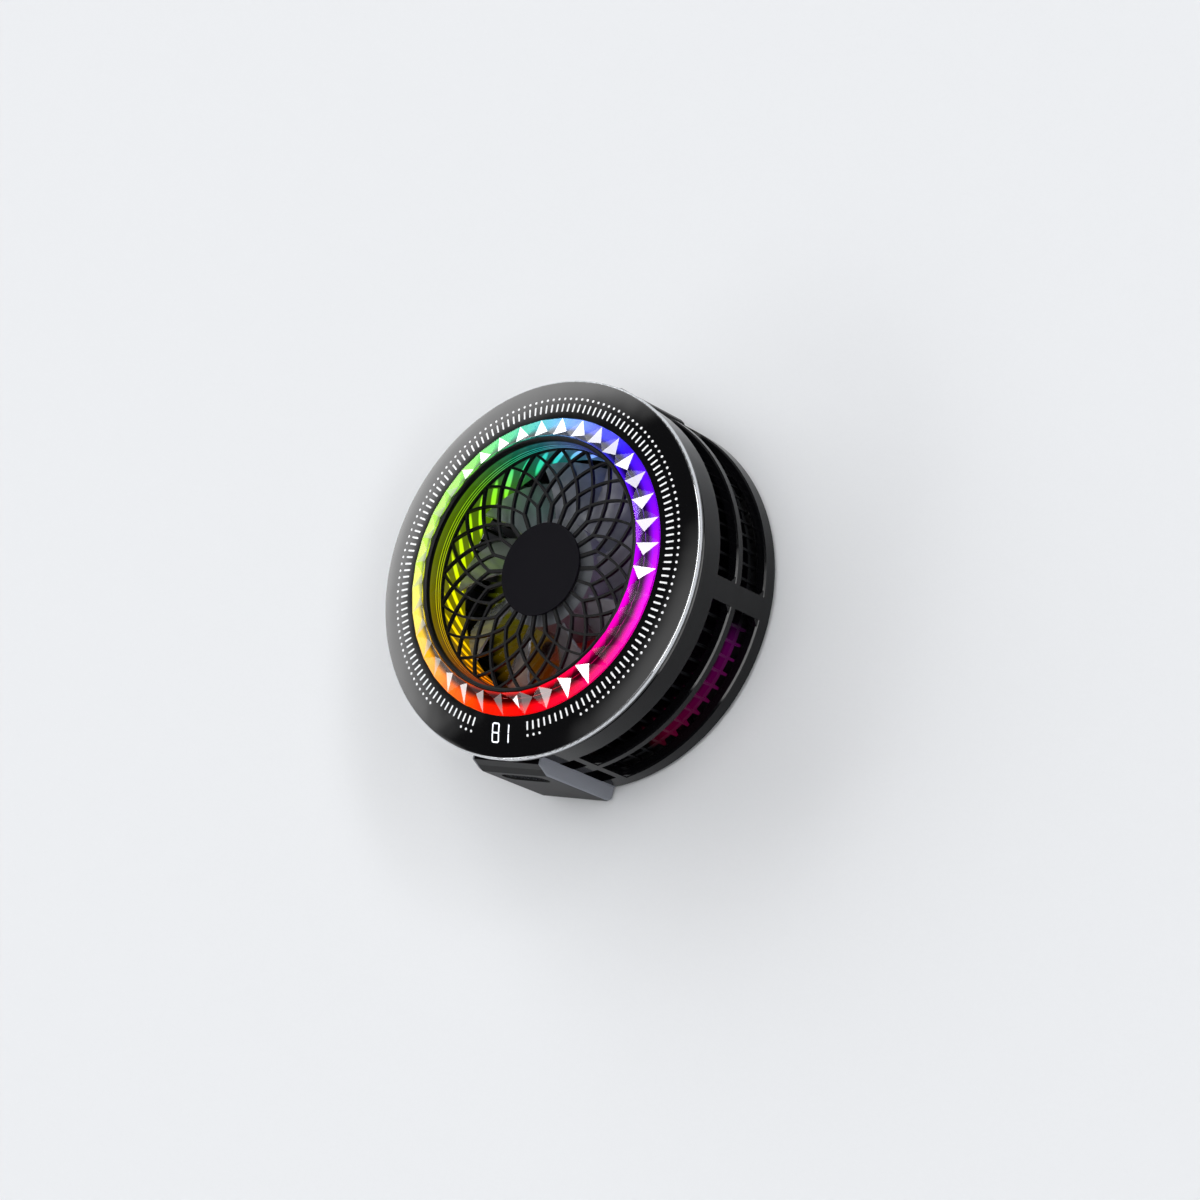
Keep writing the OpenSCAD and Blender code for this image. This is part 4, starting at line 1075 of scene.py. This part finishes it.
@dataclass
class Fan(Assembly):
    """Rotor, motor and the seat that carries them."""

    smooth = ("impeller", "rotor_yoke", "rotor_magnet", "fan_shaft", "shaft_bearing", "fan_seat")
    finishes = {"impeller": BLADES, "rotor_yoke": PLAIN_STEEL, "rotor_magnet": FERRITE,
                "fan_shaft": GROUND_STEEL, "lock_washer": NYLON, "thrust_washer": NYLON,
                "shaft_bearing": BRONZE, "stator_coils": COPPER, "stator_core": PLAIN_STEEL,
                "motor_board": BOARD, "fan_seat": SEAT_GREY, "fan_screws": ZINC}


@dataclass
class PowerSocket(Assembly):
    """Socket shell, tongue and gold contacts. Sizes in millimetres."""

    smooth = ("socket_shell",)
    finishes = {"socket_shell": NICKEL, "socket_tongue": SATIN_BLACK, "control_board": BOARD,
                "socket_contacts": GOLD}
    contacts: int = 12
    pitch: float = 0.5
    width: float = 0.26
    length: float = 3.4
    height: float = 0.02
    set_back: float = 0.3

    def build_contacts(self) -> bpy.types.Object:
        """Makes the rows of contacts on both faces of the tongue.

        Returns:
            The contacts as one piece.
        """
        low, high = (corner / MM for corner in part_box("socket_tongue"))
        points: list[Point] = []
        faces: list[Quad] = []
        front = low.y + self.set_back
        for face, way in ((low.z, -1), (high.z, 1)):
            for i in range(self.contacts):
                x = (i - (self.contacts - 1) / 2) * self.pitch
                start = len(points)
                for z in sorted((face - way * self.height, face + way * self.height)):
                    for dx, dy in ((-1, 0), (1, 0), (1, 1), (-1, 1)):
                        points.append((x + dx * self.width / 2, front + dy * self.length, z))
                faces.extend(tuple(start + k for k in quad) for quad in (
                    (3, 2, 1, 0), (4, 5, 6, 7), (0, 1, 5, 4), (1, 2, 6, 5), (2, 3, 7, 6), (3, 0, 4, 7)))
        return make_piece("socket_contacts", points, faces, Body.COOLER)

    def build(self) -> None:
        """Builds the contacts and smooths the shell round them."""
        super().build()
        piece = self.build_contacts()
        LOG.info("%s: %d faces", piece.name, len(piece.data.polygons))


@dataclass
class ModeButton(Assembly):
    """Button with a rounded edge, plunger, switch and board. Width in millimetres."""

    rounded = ("mode_button",)
    finishes = {"mode_button": PIANO_BLACK, "switch_plunger": NYLON, "button_switch": SATIN_BLACK,
                "button_board": BOARD}
    edge: float = 0.25


@dataclass(frozen=True)
class Softbox:
    """One soft light in the studio, far away: round, or drawn out into a level strip. Angles in degrees."""

    name: str
    azimuth: float
    elevation: float
    half_length: float
    inner: float
    outer: float
    radiance: float

    def shine(self, tree: Tree, way: Socket) -> Socket:
        """Gives the light that comes from a direction.

        Args:
            tree: World's node tree.
            way: Direction looked at.

        Returns:
            The radiance from there.
        """
        turn, rise, half = (math.radians(a) for a in (self.azimuth, self.elevation, self.half_length))
        ahead = add_node(tree, "VectorMath", {
            0: way, 1: (math.cos(turn), math.sin(turn), 0.0)}, operation="DOT_PRODUCT")
        aside = add_node(tree, "VectorMath", {
            0: way, 1: (-math.sin(turn), math.cos(turn), 0.0)}, operation="DOT_PRODUCT")
        angle = maths(tree, "ARCTAN2", aside.outputs["Value"], ahead.outputs["Value"])
        along = add_node(tree, "Clamp", {"Value": angle, "Min": -half, "Max": half})
        past = maths(tree, "SUBTRACT", angle, along)
        swing = maths(tree, "COSINE", past)
        flat = maths(tree, "MULTIPLY", reach_of(tree, way), swing)
        lift = maths(tree, "MULTIPLY", add_node(tree, "SeparateXYZ", {0: way}).outputs[2], math.sin(rise))
        near = maths(tree, "MULTIPLY_ADD", flat, math.cos(rise), lift)
        return spread(
            tree, near, (math.cos(math.radians(self.outer)), math.cos(math.radians(self.inner))),
            (0.0, self.radiance), smooth=True)


@dataclass
class Studio:
    """Pale floor and the soft lights round the part. Sizes in metres."""

    floor_half: float = 2.0
    floor_drop: float = 0.0001
    dark: float = 0.04
    band: float = 0.7
    band_low: float = 0.14
    band_high: float = 0.42
    boxes: tuple[Softbox, ...] = (
        Softbox("key", 152, 20, 18, 8, 29, 2.9),
        Softbox("overhead", -60, 82, 0, 8, 33, 1.3),
        Softbox("spark", -50, 74, 0, 7, 15, 2.0),
        Softbox("arch_1", 45, 67, 0, 4, 11, 1.9),
        Softbox("arch_2", 70, 59, 0, 4, 11, 1.7),
        Softbox("arch_3", 87, 49, 0, 4, 11, 1.7),
        Softbox("arch_4", 101, 39, 0, 4, 11, 1.9),
        Softbox("arch_5", 113, 29, 0, 4, 11, 2.2),
        Softbox("low_left", 218, 28, 12, 4, 11, 2.6),
        Softbox("side_strip", 12, 37, 48, 2, 4.5, 8.0),
    )

    def build_floor(self) -> None:
        """Makes the pale floor that the part lies on."""
        h = self.floor_half
        mesh = bpy.data.meshes.new("floor")
        mesh.from_pydata([(-h, -h, -self.floor_drop), (h, -h, -self.floor_drop),
                          (h, h, -self.floor_drop), (-h, h, -self.floor_drop)], [], [(0, 1, 2, 3)])
        floor = bpy.data.objects.new("floor", mesh)
        bpy.context.scene.collection.objects.link(floor)

    def build_lights(self) -> None:
        """Makes the studio's light: a dark room, a pale band at the horizon and soft boxes."""
        world = bpy.data.worlds.new("studio")
        bpy.context.scene.world = world
        world.use_nodes = True
        tree = world.node_tree
        tree.nodes.clear()
        way = add_node(tree, "TexCoord").outputs["Generated"]
        up = add_node(tree, "SeparateXYZ", {0: way}).outputs[2]
        total = spread(tree, up, (self.band_low, self.band_high), (self.band, self.dark), smooth=True)
        for box in self.boxes:
            total = maths(tree, "ADD", total, box.shine(tree, way))
        light = add_node(tree, "Background", {"Color": (1.0, 1.0, 1.0, 1.0), "Strength": total})
        add_node(tree, "OutputWorld", {"Surface": light})

    def build(self) -> None:
        """Makes the floor and the lights."""
        self.build_floor()
        self.build_lights()
        bpy.context.scene.view_settings.view_transform = "Standard"
        LOG.info("studio: floor and %d soft boxes", len(self.boxes))

    def dress(self) -> None:
        """Dresses the floor."""
        Wardrobe.dress({"floor": PAPER})


@dataclass
class Viewpoint:
    """Camera at the photograph's viewing angle. Sizes in millimetres, offsets at the face."""

    face_z: float = 22.5
    toward: Point = (0.6244, -0.1909, 0.7574)
    upward: Point = (-0.0407, 0.9604, 0.2757)
    distance: float = 658.3
    aim_right: float = 10.1
    aim_down: float = 5.2
    lens: float = 126.96
    sensor: float = 36.0

    def build(self) -> None:
        """Makes the camera and sets it as the scene's."""
        back = Vector(self.toward).normalized()
        right = Vector(self.upward).cross(back).normalized()
        up = back.cross(right)
        aim = Vector((0.0, 0.0, self.face_z)) + right * self.aim_right - up * self.aim_down
        data = bpy.data.cameras.new("camera")
        data.lens, data.sensor_width = self.lens, self.sensor
        data.clip_start, data.clip_end = 0.05, 20.0
        camera = bpy.data.objects.new("camera", data)
        bpy.context.scene.collection.objects.link(camera)
        turn = Matrix((right, up, back)).transposed().to_4x4()
        camera.matrix_world = Matrix.Translation((aim + back * self.distance) * MM) @ turn
        bpy.context.scene.camera = camera
        LOG.info("camera: %.1f mm lens", self.lens)


def main() -> None:
    """Builds and dresses every sub-assembly, then the studio and the camera."""
    logging.basicConfig(level=logging.INFO, format="%(message)s")
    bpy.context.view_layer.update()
    Viewpoint().build()
    for assembly in (Face(), LightRing(), Grille(), Housing(), CoolingStack(), Fan(), PowerSocket(), ModeButton(),
                     Studio()):
        assembly.build()
        assembly.dress()


if __name__ == "__main__":
    main()
